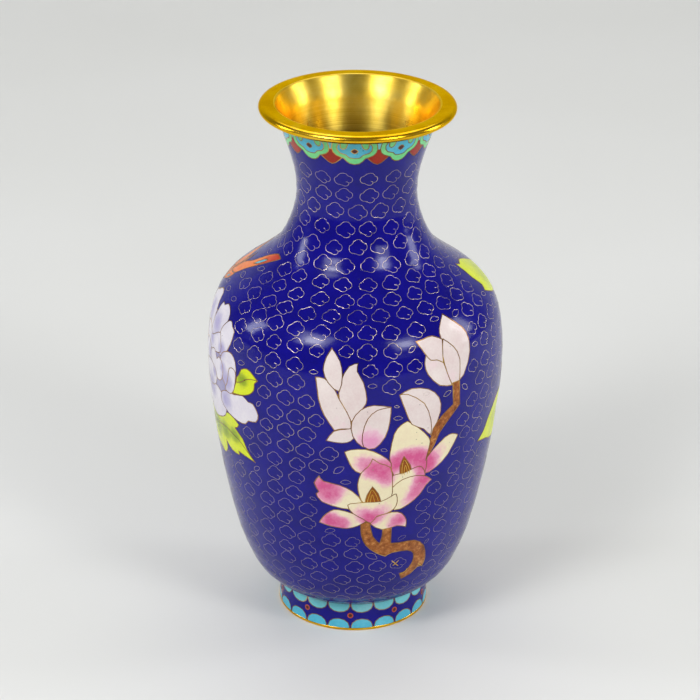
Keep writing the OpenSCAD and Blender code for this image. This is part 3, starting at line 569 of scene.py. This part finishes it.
COBALT = srgb(9, 3, 124)
CREAM, PINK = srgb(240, 228, 190), (srgb(236, 172, 196), srgb(212, 88, 142))
mats = {
    "cobalt_enamel": enamel("cobalt_enamel", COBALT, srgb(6, 2, 104), srgb(16, 9, 142), rough=0.13),
    "base_enamel": enamel("base_enamel", srgb(24, 22, 120), srgb(14, 12, 90), srgb(50, 50, 140), rough=0.24),
    "green_enamel": enamel("green_enamel", srgb(118, 216, 140), srgb(96, 196, 120), srgb(160, 228, 150)),
    "turquoise_enamel": enamel("turquoise_enamel", srgb(84, 186, 212), srgb(60, 166, 196),
                               srgb(120, 205, 222)),
    "pale_turquoise_enamel": enamel("pale_turquoise_enamel", srgb(118, 206, 214), srgb(92, 190, 202),
                                    srgb(160, 220, 222)),
    "red_enamel": enamel("red_enamel", srgb(158, 38, 14), srgb(128, 24, 10), srgb(186, 58, 28)),
    "dark_red_enamel": enamel("dark_red_enamel", srgb(86, 44, 38), srgb(60, 30, 28), srgb(120, 66, 52),
                              pits=False),
    "pink_enamel": enamel("pink_enamel", CREAM, srgb(234, 216, 184), srgb(246, 238, 206), blush=PINK),
    "white_enamel": enamel("white_enamel", srgb(228, 214, 210), srgb(218, 196, 194), srgb(238, 228, 222),
                           blush=(srgb(236, 204, 212), srgb(226, 150, 190))),
    "stamen_enamel": enamel("stamen_enamel", srgb(150, 78, 12), srgb(104, 46, 8), srgb(186, 118, 30)),
    "brown_enamel": enamel("brown_enamel", srgb(160, 92, 36), srgb(90, 38, 14), srgb(222, 160, 88), tint=0.85,
                           grain=120),
    "peony_enamel": enamel("peony_enamel", srgb(224, 218, 226), srgb(206, 200, 216), srgb(236, 232, 234),
                           shade=(srgb(204, 198, 216), srgb(172, 164, 204))),
    "peony_shade_enamel": enamel("peony_shade_enamel", srgb(152, 146, 184), srgb(128, 122, 164),
                                 srgb(176, 170, 200)),
    "leaf_enamel": enamel("leaf_enamel", srgb(216, 228, 22), srgb(188, 204, 12), srgb(226, 236, 48),
                          shade=(srgb(178, 194, 24), srgb(132, 158, 8))),
    "orange_enamel": enamel("orange_enamel", srgb(236, 128, 58), srgb(214, 92, 50), srgb(246, 160, 88),
                            shade=(srgb(214, 92, 50), srgb(186, 62, 44))),
    "gilt": metal("gilt", srgb(232, 180, 30), srgb(206, 150, 16), srgb(246, 208, 76), 0.2, tarnish=0.5,
                  edge=(1.0, 0.84, 0.35)),
    # painted shade: the throat's colour darkens from 221 mm down to near black at 206 mm height
    "gilt_throat": metal("gilt_throat", srgb(238, 198, 64), srgb(214, 170, 36), srgb(252, 224, 110), 0.33,
                         turned=0.35, brushed=0.76, painted_depth_shade=(0.206, 0.221), edge=(1.0, 0.86, 0.35)),
    "gilt_wire": metal("gilt_wire", srgb(146, 106, 62), srgb(98, 66, 42), srgb(222, 182, 92), 0.28),
    "filament_wire": metal("filament_wire", srgb(212, 168, 60), srgb(180, 130, 40), srgb(240, 206, 110),
                           0.28),
    "cloud_wire": metal("cloud_wire", srgb(188, 170, 158), srgb(130, 112, 132), srgb(226, 208, 168), 0.26),
    "dot_wire": metal("dot_wire", srgb(208, 96, 60), srgb(170, 66, 40), srgb(228, 130, 86), 0.3),
    "copper": metal("copper", srgb(150, 96, 60), srgb(96, 56, 36), srgb(190, 130, 86), 0.45, tarnish=0.7),
}


# ---------------------------------------------------------------- the skin and its smooth sheets

# The sheet thicknesses of part.scad. Cells and wires stand a little proud of the ground,
# so that no two surfaces lie in one place.
ENAMEL_T, COPPER_T = 1.0 * MM, 1.2 * MM
LIFT_CELL, LIFT_WIRE, CLOUD_LIFT = 0.035 * MM, 0.06 * MM, 0.05 * MM

# The skin runs from the joint with the foot band to the collar's edge under the rim bead,
# one thickness of enamel outside a smooth line through the copper's rings.
collar_co = welded("collar_green_enamel")[0]
flare_z = collar_co[:, 2].max()
collar_rim = collar_co[collar_co[:, 2] > flare_z - 0.3 * MM]
at_rim = np.argmax(np.hypot(collar_rim[:, 0], collar_rim[:, 1]))
flare_r, flare_z = float(np.hypot(*collar_rim[at_rim, :2])), float(collar_rim[at_rim, 2])
ground_rings = rings("ground_enamel")
joint = max(ground_rings[ground_rings[:, 1] < ground_rings[0, 1] + 0.05 * MM], key=lambda p: p[0])
joint_z = joint[1]

shells = np.concatenate([rings(n) for n in ("belly_lower_shell", "belly_upper_shell", "neck_shell")])
copper, _ = faces_of_sheet(shells, COPPER_T)
copper = copper[copper[:, 1] < flare_z + 0.6 * MM]
copper_skin = Skin(copper)
copper_s = np.concatenate([[0], np.cumsum(np.hypot(*np.diff(copper, axis=0).T))])
out = np.stack([np.interp(copper_s, copper_skin.s, copper_skin.out[:, k]) for k in (0, 1)], 1)
section = copper + out * ENAMEL_T
section[0], section[-1] = joint, (flare_r, flare_z)
skin = Skin(section)

band_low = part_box("foot_ground_enamel")[0].z
band_rings = rings("foot_ground_enamel")
band_low_r = band_rings[band_rings[:, 1] < band_low + 0.1 * MM][:, 0].max()
band_high = band_rings[(band_rings[:, 1] > joint_z - 0.1 * MM) & (band_rings[:, 0] < joint[0] - 0.3 * MM)
                       & (band_rings[:, 1] < joint_z + 0.1 * MM)]
band_high_r = band_high[:, 0].max()
band = Skin(np.array([[band_low_r, band_low], [band_high_r, joint_z]]), smooth=False)


def sheet_of(name, surface, around, step):
    """The whole of a skin as one turned sheet, its rows a step apart."""
    rows = max(2, int(surface.length / step))
    section = [(surface.radius(s), surface.height(s)) for s in np.linspace(0, surface.length, rows)]
    return lathe(name, section, around)


ground = sheet_of("ground_cobalt", skin, AROUND_BODY, GROUND_ROWS)
finish_piece(ground, mats["cobalt_enamel"], "cobalt_enamel", "ground_enamel")
foot_band = sheet_of("foot_band_cobalt", band, AROUND_FOOT, BAND_ROWS)
finish_piece(foot_band, mats["cobalt_enamel"], "cobalt_enamel", "foot_ground_enamel")


# ---------------------------------------------------------------- enamel cells and their wires

def blots(piece, name, azimuth, spots):
    """A soft mask over a piece: spots of a spray as (x, z, reach) or (x, z, reach, strength)."""
    co = np.array([v.co for v in piece.data.vertices]) / MM
    turn = math.radians(azimuth)
    x = co[:, 0] * math.cos(turn) + co[:, 1] * math.sin(turn)
    plain = np.ones(len(co))
    for sx, sz, reach, *strength in spots:
        far = np.hypot(x - sx, co[:, 2] - sz) / reach
        near = np.clip((1 - far) / 0.9, 0, 1)
        plain *= 1 - near * near * (3 - 2 * near) * (strength[0] if strength else 1)
    add_values(piece, name, 1 - plain)


# Azimuths that the sprays face, in degrees, and the spots of shading in their cells
MAGNOLIA_AT, PEONY_AT, BACK_AT, BUTTERFLY_AT = 18, -75, 118, -99
BLUSH = [
    (-1, 95, 8), (3, 97, 7), (8, 96, 8), (11, 93, 7), (13, 92, 8), (18, 97, 6, 0.3), (9, 90, 4, 0.5),
    (11, 84, 8), (8, 78, 7, 0.8), (4, 74, 5, 0.4), (-15, 96, 7, 0.6), (-9, 93, 8), (-6, 90, 7, 0.8),
    (-5, 86, 5, 0.5), (-13, 91, 5, 0.5), (-30, 84, 9), (-27, 79, 7, 0.8), (-24, 84, 7, 0.5), (-26, 66, 7),
    (-22, 65, 6, 0.9), (-28, 69, 5, 0.5), (-11, 68, 7), (-6, 71, 7, 0.5), (-15, 71, 6, 0.45), (2, 66, 6, 0.9),
    (-1, 64, 5, 0.6),
]
FAINT = [(-25, 114, 8, 0.2), (6, 108, 6, 0.2), (22, 130, 6, 0.2), (13, 137, 5, 0.2), (-13, 106, 10)]
PETAL_SHADE = [
    (3, 139, 8), (-10, 140, 8), (17, 119, 8), (12, 131, 6), (0, 110, 9), (-14, 112, 9), (16, 110, 7),
    (-14, 128, 8), (-3, 124, 6), (0, 131, 5), (5, 118, 4), (14, 124, 4),
]
LEAF_SHADE = [(12, 94, 7), (2, 93, 9), (20, 95, 6), (28, 124, 5), (-8, 92, 7)]
BACK_LEAF_SHADE = [
    (-26, 95, 9, 0.4), (-34, 96, 9, 0.4), (-42, 97, 8, 0.3), (-20, 151, 9, 0.35), (-12, 153, 8, 0.35),
    (24, 134, 9, 0.4), (30, 138, 8, 0.3), (32, 78, 8, 0.35), (38, 84, 8, 0.3),
]
WING_SHADE = [(18, 166, 7), (-18, 166, 7), (14, 162, 4), (-14, 162, 4)]

# CAD node: material slot
cells = {
    "collar_green_enamel": "green_enamel", "collar_turquoise_enamel": "turquoise_enamel",
    "collar_dot_enamel": "dark_red_enamel", "collar_red_enamel": "red_enamel",
    "collar_corner_enamel": "pale_turquoise_enamel", "magnolia_pink_petals": "pink_enamel",
    "magnolia_white_petals": "white_enamel", "magnolia_stamens": "stamen_enamel",
    "magnolia_branch": "brown_enamel", "peony_petals": "peony_enamel",
    "peony_shade_enamel": "peony_shade_enamel", "peony_leaves": "leaf_enamel",
    "butterfly_wings": "orange_enamel", "butterfly_wing_spots": "turquoise_enamel",
    "butterfly_body": "brown_enamel", "back_peony_petals": "peony_enamel",
    "back_shade_enamel": "peony_shade_enamel", "back_leaves": "leaf_enamel", "back_branch": "brown_enamel",
}
collar_wires = ["collar_head_wires", "collar_panel_wires"]
spray_wires = ["magnolia_wires", "peony_wires", "butterfly_wires", "back_wires"]
band_cells = {"foot_upper_scallops": "pale_turquoise_enamel", "foot_lower_scallops": "turquoise_enamel",
              "foot_dot_enamel": "dark_red_enamel"}

laid = {}
outlines = {}
for node, slot in cells.items():
    laid[node], _ = inlay(node, skin, LIFT_CELL, COLLAR_GRID if "collar" in node else CELL_GRID)
    finish_piece(laid[node], mats[slot], slot, node)
for node in collar_wires + spray_wires:
    laid[node], outlines[node] = inlay(node, skin, LIFT_WIRE, WIRE_GRID)
    finish_piece(laid[node], mats["gilt_wire"], "gilt_wire", node)
for node, slot in band_cells.items():
    laid[node], _ = inlay(node, band, LIFT_CELL, COLLAR_GRID)
    finish_piece(laid[node], mats[slot], slot, node)
laid["foot_wires"], _ = inlay("foot_wires", band, LIFT_WIRE, WIRE_GRID)
finish_piece(laid["foot_wires"], mats["gilt_wire"], "gilt_wire", "foot_wires")
laid["foot_dot_rings"], _ = inlay("foot_dot_rings", band, LIFT_WIRE, WIRE_GRID)
finish_piece(laid["foot_dot_rings"], mats["dot_wire"], "copper_wire", "foot_dot_rings")

blots(laid["magnolia_pink_petals"], "blush", MAGNOLIA_AT, BLUSH)
blots(laid["magnolia_white_petals"], "blush", MAGNOLIA_AT, FAINT)
blots(laid["peony_petals"], "shade", PEONY_AT, PETAL_SHADE)
blots(laid["peony_leaves"], "shade", PEONY_AT, LEAF_SHADE)
blots(laid["back_peony_petals"], "shade", BACK_AT, [(-x, z, r) for x, z, r in PETAL_SHADE])
blots(laid["back_leaves"], "shade", BACK_AT, BACK_LEAF_SHADE)
blots(laid["butterfly_wings"], "shade", BUTTERFLY_AT, WING_SHADE)


# ---------------------------------------------------------------- cloud scrolls of the ground

# One cloud and one eye as (x, z) runs in millimetres
CLOUD = [
    (1.1, -1.0), (2.0, -1.3), (2.3, -2.1), (1.5, -3.0), (0.1, -3.1), (-1.3, -2.5), (-3.0, -2.1), (-4.0, -0.9),
    (-3.8, 0.7), (-2.5, 1.5), (-1.5, 2.6), (0.1, 3.2), (1.7, 2.8), (2.5, 1.8), (3.7, 1.2), (4.2, 0.0),
    (3.7, -1.2), (2.6, -1.7),
]
EYE = [(-2.7, -0.2), (-1.4, 1.0), (0.3, 1.4), (1.6, 1.0), (2.8, 0.1), (1.7, -0.8), (0.3, -1.2), (-1.3, -1.1),
       (-2.7, -0.2)]
CLOUD_W = ((70 * MM, 0.11 * MM), (125 * MM, 0.2 * MM))      # (height, width of the wire)
STAMEN_W, WIRE_END_W = 0.26 * MM, 0.4 * MM
ROW, PITCH = 7.5 * MM, 10.0 * MM
CLEAR_OF_MOTIFS, CLEAR_OF_COLLAR, CLEAR_OF_FOOT = 0.75 * MM, 2.0 * MM, 1.0 * MM


def curve_through(points, steps):
    """Catmull-Rom curve through an open run of points."""
    p = np.array([points[0], *points, points[-1]], float)
    t = np.linspace(0, 1, steps, endpoint=False)[:, None]
    parts = []
    for a, b, c, d in zip(p, p[1:], p[2:], p[3:]):
        m, k = (c - a) / 2, (d - b) / 2
        parts.append((2 * t ** 3 - 3 * t * t + 1) * b + (t ** 3 - 2 * t * t + t) * m
                     + (3 * t * t - 2 * t ** 3) * c + (t ** 3 - t * t) * k)
    return np.concatenate(parts + [p[-1:]])


class Blocked:
    """Where motifs lie: a raster of the skin, with a margin round each outline."""

    STEP_A, STEP_S = math.radians(0.5), 0.4 * MM
    BATCH = 4000

    def __init__(self, loops, margin):
        self.cols = int(TAU / self.STEP_A)
        self.rows = int(skin.length / self.STEP_S) + 1
        self.grid = np.zeros((self.rows, self.cols), bool)
        for loop in loops:
            r = float(skin.radius(loop[:, 1]).mean())
            scale = np.array([r, 1.0])
            low, high = loop.min(0) - margin / scale, loop.max(0) + margin / scale
            if high[0] - low[0] > TAU * 0.9:
                continue
            cols = np.arange(math.floor(low[0] / self.STEP_A), math.ceil(high[0] / self.STEP_A) + 1)
            rows = np.arange(max(0, math.floor(low[1] / self.STEP_S)),
                             min(self.rows, math.ceil(high[1] / self.STEP_S) + 1))
            mesh = np.stack(np.meshgrid(cols * self.STEP_A, rows * self.STEP_S), -1).reshape(-1, 2)
            hit = inside(mesh, [loop])
            edge = loop * scale
            for start in range(0, len(mesh), self.BATCH):
                part = mesh[start:start + self.BATCH] * scale
                near = np.min(np.linalg.norm(part[:, None] - edge[None], axis=2), 1) < margin
                hit[start:start + self.BATCH] |= near
            hit = hit.reshape(len(rows), len(cols))
            self.grid[np.ix_(rows, cols % self.cols)] |= hit

    def any(self, azimuth, s):
        rows = np.clip(np.round(s / self.STEP_S).astype(int), 0, self.rows - 1)
        cols = np.round(azimuth / self.STEP_A).astype(int) % self.cols
        return bool(self.grid[rows, cols].any())


blocked = Blocked([l for node in spray_wires + collar_wires for l in outlines[node]], CLEAR_OF_MOTIFS)
collar_low = min(float(l[:, 1].min()) for l in outlines["collar_head_wires"])


class Strips:
    """Flat wire laid on the skin: a low edge, a raised middle and a low edge."""

    LEAN = 0.55         # how far the normals at the low edges lean away from the middle

    def __init__(self):
        self.verts, self.normals, self.faces, self.count = [], [], [], 0

    def add(self, azimuth, s, width, base=0.0):
        r = skin.radius(s)
        flat = np.stack([azimuth * float(r.mean()), s], 1)
        way = np.gradient(flat, axis=0)
        way /= np.maximum(np.linalg.norm(way, axis=1), 1e-9)[:, None]
        side = np.stack([-way[:, 1], way[:, 0]], 1) * width / 2
        n = len(flat)
        for k, lift in ((-1, base), (0, base + CLOUD_LIFT), (1, base)):
            a, h = azimuth + k * side[:, 0] / r, s + k * side[:, 1]
            self.verts.append(skin.point(a, h, lift))
            out = skin.normal(a, h)
            if k:
                lean = skin.point(a, h) - skin.point(azimuth, s)
                lean /= np.linalg.norm(lean, axis=1)[:, None]
                out = out + self.LEAN * lean
                out /= np.linalg.norm(out, axis=1)[:, None]
            self.normals.append(out)
        for k in (0, 1):
            i = np.arange(n - 1) + self.count + k * n
            self.faces.append(np.stack([i, i + 1, i + n + 1, i + n], 1))
        self.count += 3 * n

    def piece(self, name):
        verts, faces, normals = (np.concatenate(x) for x in (self.verts, self.faces, self.normals))
        a, b, c = (verts[faces[:, k]] for k in range(3))
        flip = (np.cross(b - a, c - a) * normals[faces[:, 0]]).sum(1) < 0
        faces[flip] = faces[flip][:, ::-1]
        return new_object(name, verts, faces, normals)


cloud_curve = curve_through(CLOUD, 3) * (0.94 * MM, 1.04 * MM)
eye_curve = curve_through(EYE, 3) * MM
zones = [(skin.along(80 * MM), Strips(), "cloud_wires_low"),
         (skin.along(130 * MM), Strips(), "cloud_wires_middle"),
         (skin.length, Strips(), "cloud_wires_high")]
row, s0 = 0, 4.5 * MM
while s0 < collar_low - CLEAR_OF_COLLAR:
    strips = next(z[1] for z in zones if s0 <= z[0])
    r = float(skin.radius(s0))
    width = float(np.interp(skin.height(s0), *zip(*CLOUD_W)))
    count = int(round(TAU * r / PITCH))
    for k in range(count):
        shift = random.uniform(-0.07, 0.07)
        azimuth = TAU * (k + 0.5 * (row % 2) + shift) / count - math.pi
        lean, grow = random.gauss(0, 0.09), random.uniform(0.9, 1.03)
        rise = random.uniform(-0.5, 0.5) * MM
        spin = np.array([[math.cos(lean), -math.sin(lean)], [math.sin(lean), math.cos(lean)]]) * grow
        turned_eye = eye_curve @ spin.T @ spin.T @ spin.T
        # a whole cloud where it fits, then smaller ones and eyes, moved by (dx, dy) millimetres
        tries = [(cloud_curve, 0, 0), (cloud_curve * 0.85, 0.8, 0), (cloud_curve * 0.85, -0.8, 0),
                 (turned_eye, 0, 0), (turned_eye, 2.0, 0.8), (turned_eye, -2.0, -0.8),
                 (turned_eye * 0.8, 0, 2.0), (turned_eye * 0.8, 0, -2.0),
                 (turned_eye * 0.6, 2.6, 1.2), (turned_eye * 0.6, -2.6, -1.2)]
        for curve, dx, dy in tries:
            flat = curve @ spin.T + np.array([dx, dy]) * MM
            a, h = azimuth + flat[:, 0] / r, s0 + rise + flat[:, 1]
            if h.min() < CLEAR_OF_FOOT or blocked.any(a, h):
                continue
            strips.add(a, h, width)
            break
    row += 1
    s0 += ROW
for _, strips, name in zones:
    finish_piece(strips.piece(name), mats["cloud_wire"], "gilt_wire")

# Wires inside the magnolia spray's cells, as (x, z) runs: the filaments in its two stamens,
# the crossed ends beside the lower branch and the bright end of the branch itself
FILAMENTS = [
    [(-12.6, 76.6), (-12.1, 79.5), (-11.1, 82.6), (-9.3, 80.0), (-8.1, 76.6)],
    [(-11.4, 76.4), (-11.2, 78.6), (-10.8, 80.2), (-10.2, 78.6), (-9.6, 76.4)],
    [(1.2, 88.4), (1.0, 92.4), (1.7, 95.9), (3.6, 92.6), (4.5, 89.2)],
    [(2.1, 88.4), (2.0, 91.0), (2.4, 93.2), (3.1, 91.0), (3.5, 88.9)],
]
WIRE_ENDS = [
    [(0.2, 43.9), (1.2, 42.8), (2.2, 41.7), (3.4, 40.4)], [(3.4, 43.5), (2.3, 42.2), (1.0, 41.0)],
    [(13.0, 38.8), (13.9, 37.8), (14.8, 37.2)], [(8.0, 37.6), (7.6, 36.4), (6.6, 35.6), (5.2, 35.2)],
]
strips = Strips()
for runs, width in ((FILAMENTS, STAMEN_W), (WIRE_ENDS, WIRE_END_W)):
    for run in runs:
        x, z = (curve_through(run, 4) * MM).T
        s = skin.along(z)
        strips.add(np.arcsin(x / skin.radius(s)) + math.radians(MAGNOLIA_AT), s, width, LIFT_WIRE)
finish_piece(strips.piece("spray_filaments"), mats["filament_wire"], "gilt_wire")


# ---------------------------------------------------------------- turned metal

bead_rings = rings("rim_bead")
rim_r, top_z = bead_rings[:, 0].max(), bead_rings[:, 1].max()
flat_top = bead_rings[bead_rings[:, 1] > top_z - 0.02 * MM][:, 0]
widest_z = bead_rings[np.argmax(bead_rings[:, 0]), 1]
roll_w, roll_h = rim_r - flat_top.max(), top_z - widest_z
LIP, LIP_SLOPE = 1.0 * MM, 64           # radius of the lip's edge, degrees it rises at inside
MOUTH_HIGH, MOUTH_EASE = 9 * MM, 3 * MM

# The funnel follows the neck's inner face up to MOUTH_HIGH under the top. From there it runs
# nearly straight into the lip.
_, inner = faces_of_sheet(rings("neck_shell"), COPPER_T)
throat_skin = Skin(inner)
lip_arc = arc((flat_top.min(), top_z - LIP), LIP, 90 + LIP_SLOPE, 90, 8)
lip_way = np.array([math.cos(math.radians(LIP_SLOPE)), math.sin(math.radians(LIP_SLOPE))])
funnel = [(throat_skin.radius(s), throat_skin.height(s)) for s in np.linspace(0, throat_skin.length, 90)]
funnel = [p for p in funnel if p[1] < top_z - MOUTH_HIGH]
rise = np.array(funnel[-1]) - funnel[-2]
rise *= MOUTH_EASE / np.hypot(*rise)
mouth = bezier(funnel[-1], funnel[-1] + rise, np.array(lip_arc[0]) - lip_way * MOUTH_EASE, lip_arc[0], 20)
neck = lathe("neck_gilt", funnel + mouth[1:] + lip_arc[1:], AROUND_NECK)
finish_piece(neck, mats["gilt_throat"], "gilt_throat", "neck_shell")

bead = [lip_arc[-1], ((flat_top.min() + flat_top.max()) / 2, top_z)]
bead += [(rim_r - roll_w + roll_w * math.cos(a), widest_z + roll_h * math.sin(a))
         for a in np.linspace(math.pi / 2, -math.pi / 2, 30)]
bead += [(flare_r + 1.2 * MM, flare_z + 0.4 * MM), (flare_r - 0.2 * MM, flare_z)]
rim = lathe("rim_bead_gilt", bead, AROUND_NECK)
finish_piece(rim, mats["gilt"], "gilt", "rim_bead")

_, edge_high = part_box("foot_edge_ring")
edge_r, edge_top = edge_high.x, edge_high.z
edge_in = edge_r - 2.5 * MM
EASE = 0.28 * MM
edge = ([(edge_in, EASE)] + arc((edge_in + EASE, EASE), EASE, 180, 270, 5)
        + arc((edge_r - EASE, EASE), EASE, 270, 360, 6)
        + arc((edge_r - EASE, edge_top - EASE), EASE, 0, 90, 6)
        + [(edge_in, edge_top)])
foot_edge = lathe("foot_edge_gilt", edge, AROUND_FOOT, closed=True)
finish_piece(foot_edge, mats["gilt"], "gilt", "foot_edge_ring")

# These show only from below or inside, so the CAD's own meshes are good enough
for node, slot in (("belly_lower_shell", "copper"), ("belly_upper_shell", "copper"), ("foot_ring", "copper"),
                   ("base_enamel", "base_enamel")):
    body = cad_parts[node]
    if not body.material_slots:
        body.data.materials.append(mats[slot])
    for place in body.material_slots:
        place.material = mats[slot]


# ---------------------------------------------------------------- floor, light and camera

def backdrop():
    """A pale paper sweep: flat under the vase, curving up far behind it."""
    material, tree, shader, node = new_material("paper")
    place = node("ShaderNodeTexCoord").outputs["Object"]
    grain = node("ShaderNodeTexNoise", [("Vector", place)], Scale=700, Detail=4, Roughness=0.7)
    cloud = node("ShaderNodeTexNoise", [("Vector", place)], Scale=3, Detail=2)
    paper = ramp(node, cloud.outputs["Fac"], (0.3, srgb(219, 219, 215)), (0.7, srgb(224, 224, 221)))
    bump = node("ShaderNodeBump", [("Height", grain.outputs["Fac"])], Strength=0.08, Distance=0.0002)
    tree.links.new(paper, shader.inputs["Base Color"])
    tree.links.new(bump.outputs["Normal"], shader.inputs["Normal"])
    shader.inputs["Roughness"].default_value = 0.85
    bend, back, high = 0.5, 1.3, 2.2
    line = [(-2.5, 0.0), (0.2, 0.0), (back - bend, 0.0)]
    line += [(back - bend + bend * math.sin(a), bend - bend * math.cos(a))
             for a in np.linspace(0.1, math.pi / 2, 16)]
    line += [(back, high)]
    verts = [(x, y, z) for y, z in line for x in (-3.0, 3.0)]
    faces = [(2 * i, 2 * i + 1, 2 * i + 3, 2 * i + 2) for i in range(len(line) - 1)]
    sweep = new_object("backdrop", verts, faces)
    sweep.data.materials.append(material)


def panel(name, azimuth, elevation, distance, width, height, power, colour=(1, 1, 1)):
    """A soft box that looks at the middle of the vase."""
    light = bpy.data.lights.new(name, "AREA")
    light.shape, light.size, light.size_y = "RECTANGLE", width, height
    light.energy, light.color = power, colour
    holder = bpy.data.objects.new(name, light)
    bpy.context.scene.collection.objects.link(holder)
    a, e = math.radians(azimuth), math.radians(elevation)
    way = Vector((math.sin(a) * math.cos(e), -math.cos(a) * math.cos(e), math.sin(e)))
    holder.location = Vector((0, 0, 0.12)) + way * distance
    holder.rotation_mode = "QUATERNION"
    holder.rotation_quaternion = way.to_track_quat("Z", "Y")


backdrop()
panel("left_window", -92, 22, 1.5, 0.26, 0.7, 5.2, (0.93, 0.95, 1.0))
panel("left_front_box", -39, 42, 1.5, 0.6, 0.64, 6.4)
panel("left_front_lamp", -39, 42, 1.45, 0.3, 0.3, 4.0)
panel("right_front_box", 43, 32, 1.6, 0.56, 0.76, 5.6)
panel("right_front_lamp", 43, 33, 1.55, 0.3, 0.34, 3.4)
panel("right_window", 97, 20, 1.5, 0.34, 0.8, 5.8, (0.96, 0.97, 1.0))
panel("back_top_box", 180, 64, 1.5, 1.4, 0.9, 6.8)

world = bpy.data.worlds.new("room")
bpy.context.scene.world = world
world.use_nodes = True
world.node_tree.nodes["Background"].inputs["Color"].default_value = (0.93, 0.95, 1.0, 1)
world.node_tree.nodes["Background"].inputs["Strength"].default_value = 0.23

PITCH_DOWN, CAMERA_FAR, AIM_Z, ASIDE = math.radians(25.32), 1.1842, 0.1184, -0.00224
lens = bpy.data.cameras.new("camera")
lens.sensor_width, lens.lens, lens.clip_end = 36.0, 143.87, 20.0
camera = bpy.data.objects.new("camera", lens)
bpy.context.scene.collection.objects.link(camera)
toward = Vector((0, -math.cos(PITCH_DOWN), math.sin(PITCH_DOWN)))
camera.location = Vector((ASIDE, 0, AIM_Z)) + toward * CAMERA_FAR
camera.rotation_mode = "QUATERNION"
roll = Matrix.Rotation(math.radians(0.5), 3, "Z").to_quaternion()
camera.rotation_quaternion = (-toward).to_track_quat("-Z", "Y") @ roll
bpy.context.scene.camera = camera
bpy.context.scene.view_settings.view_transform = "Standard"
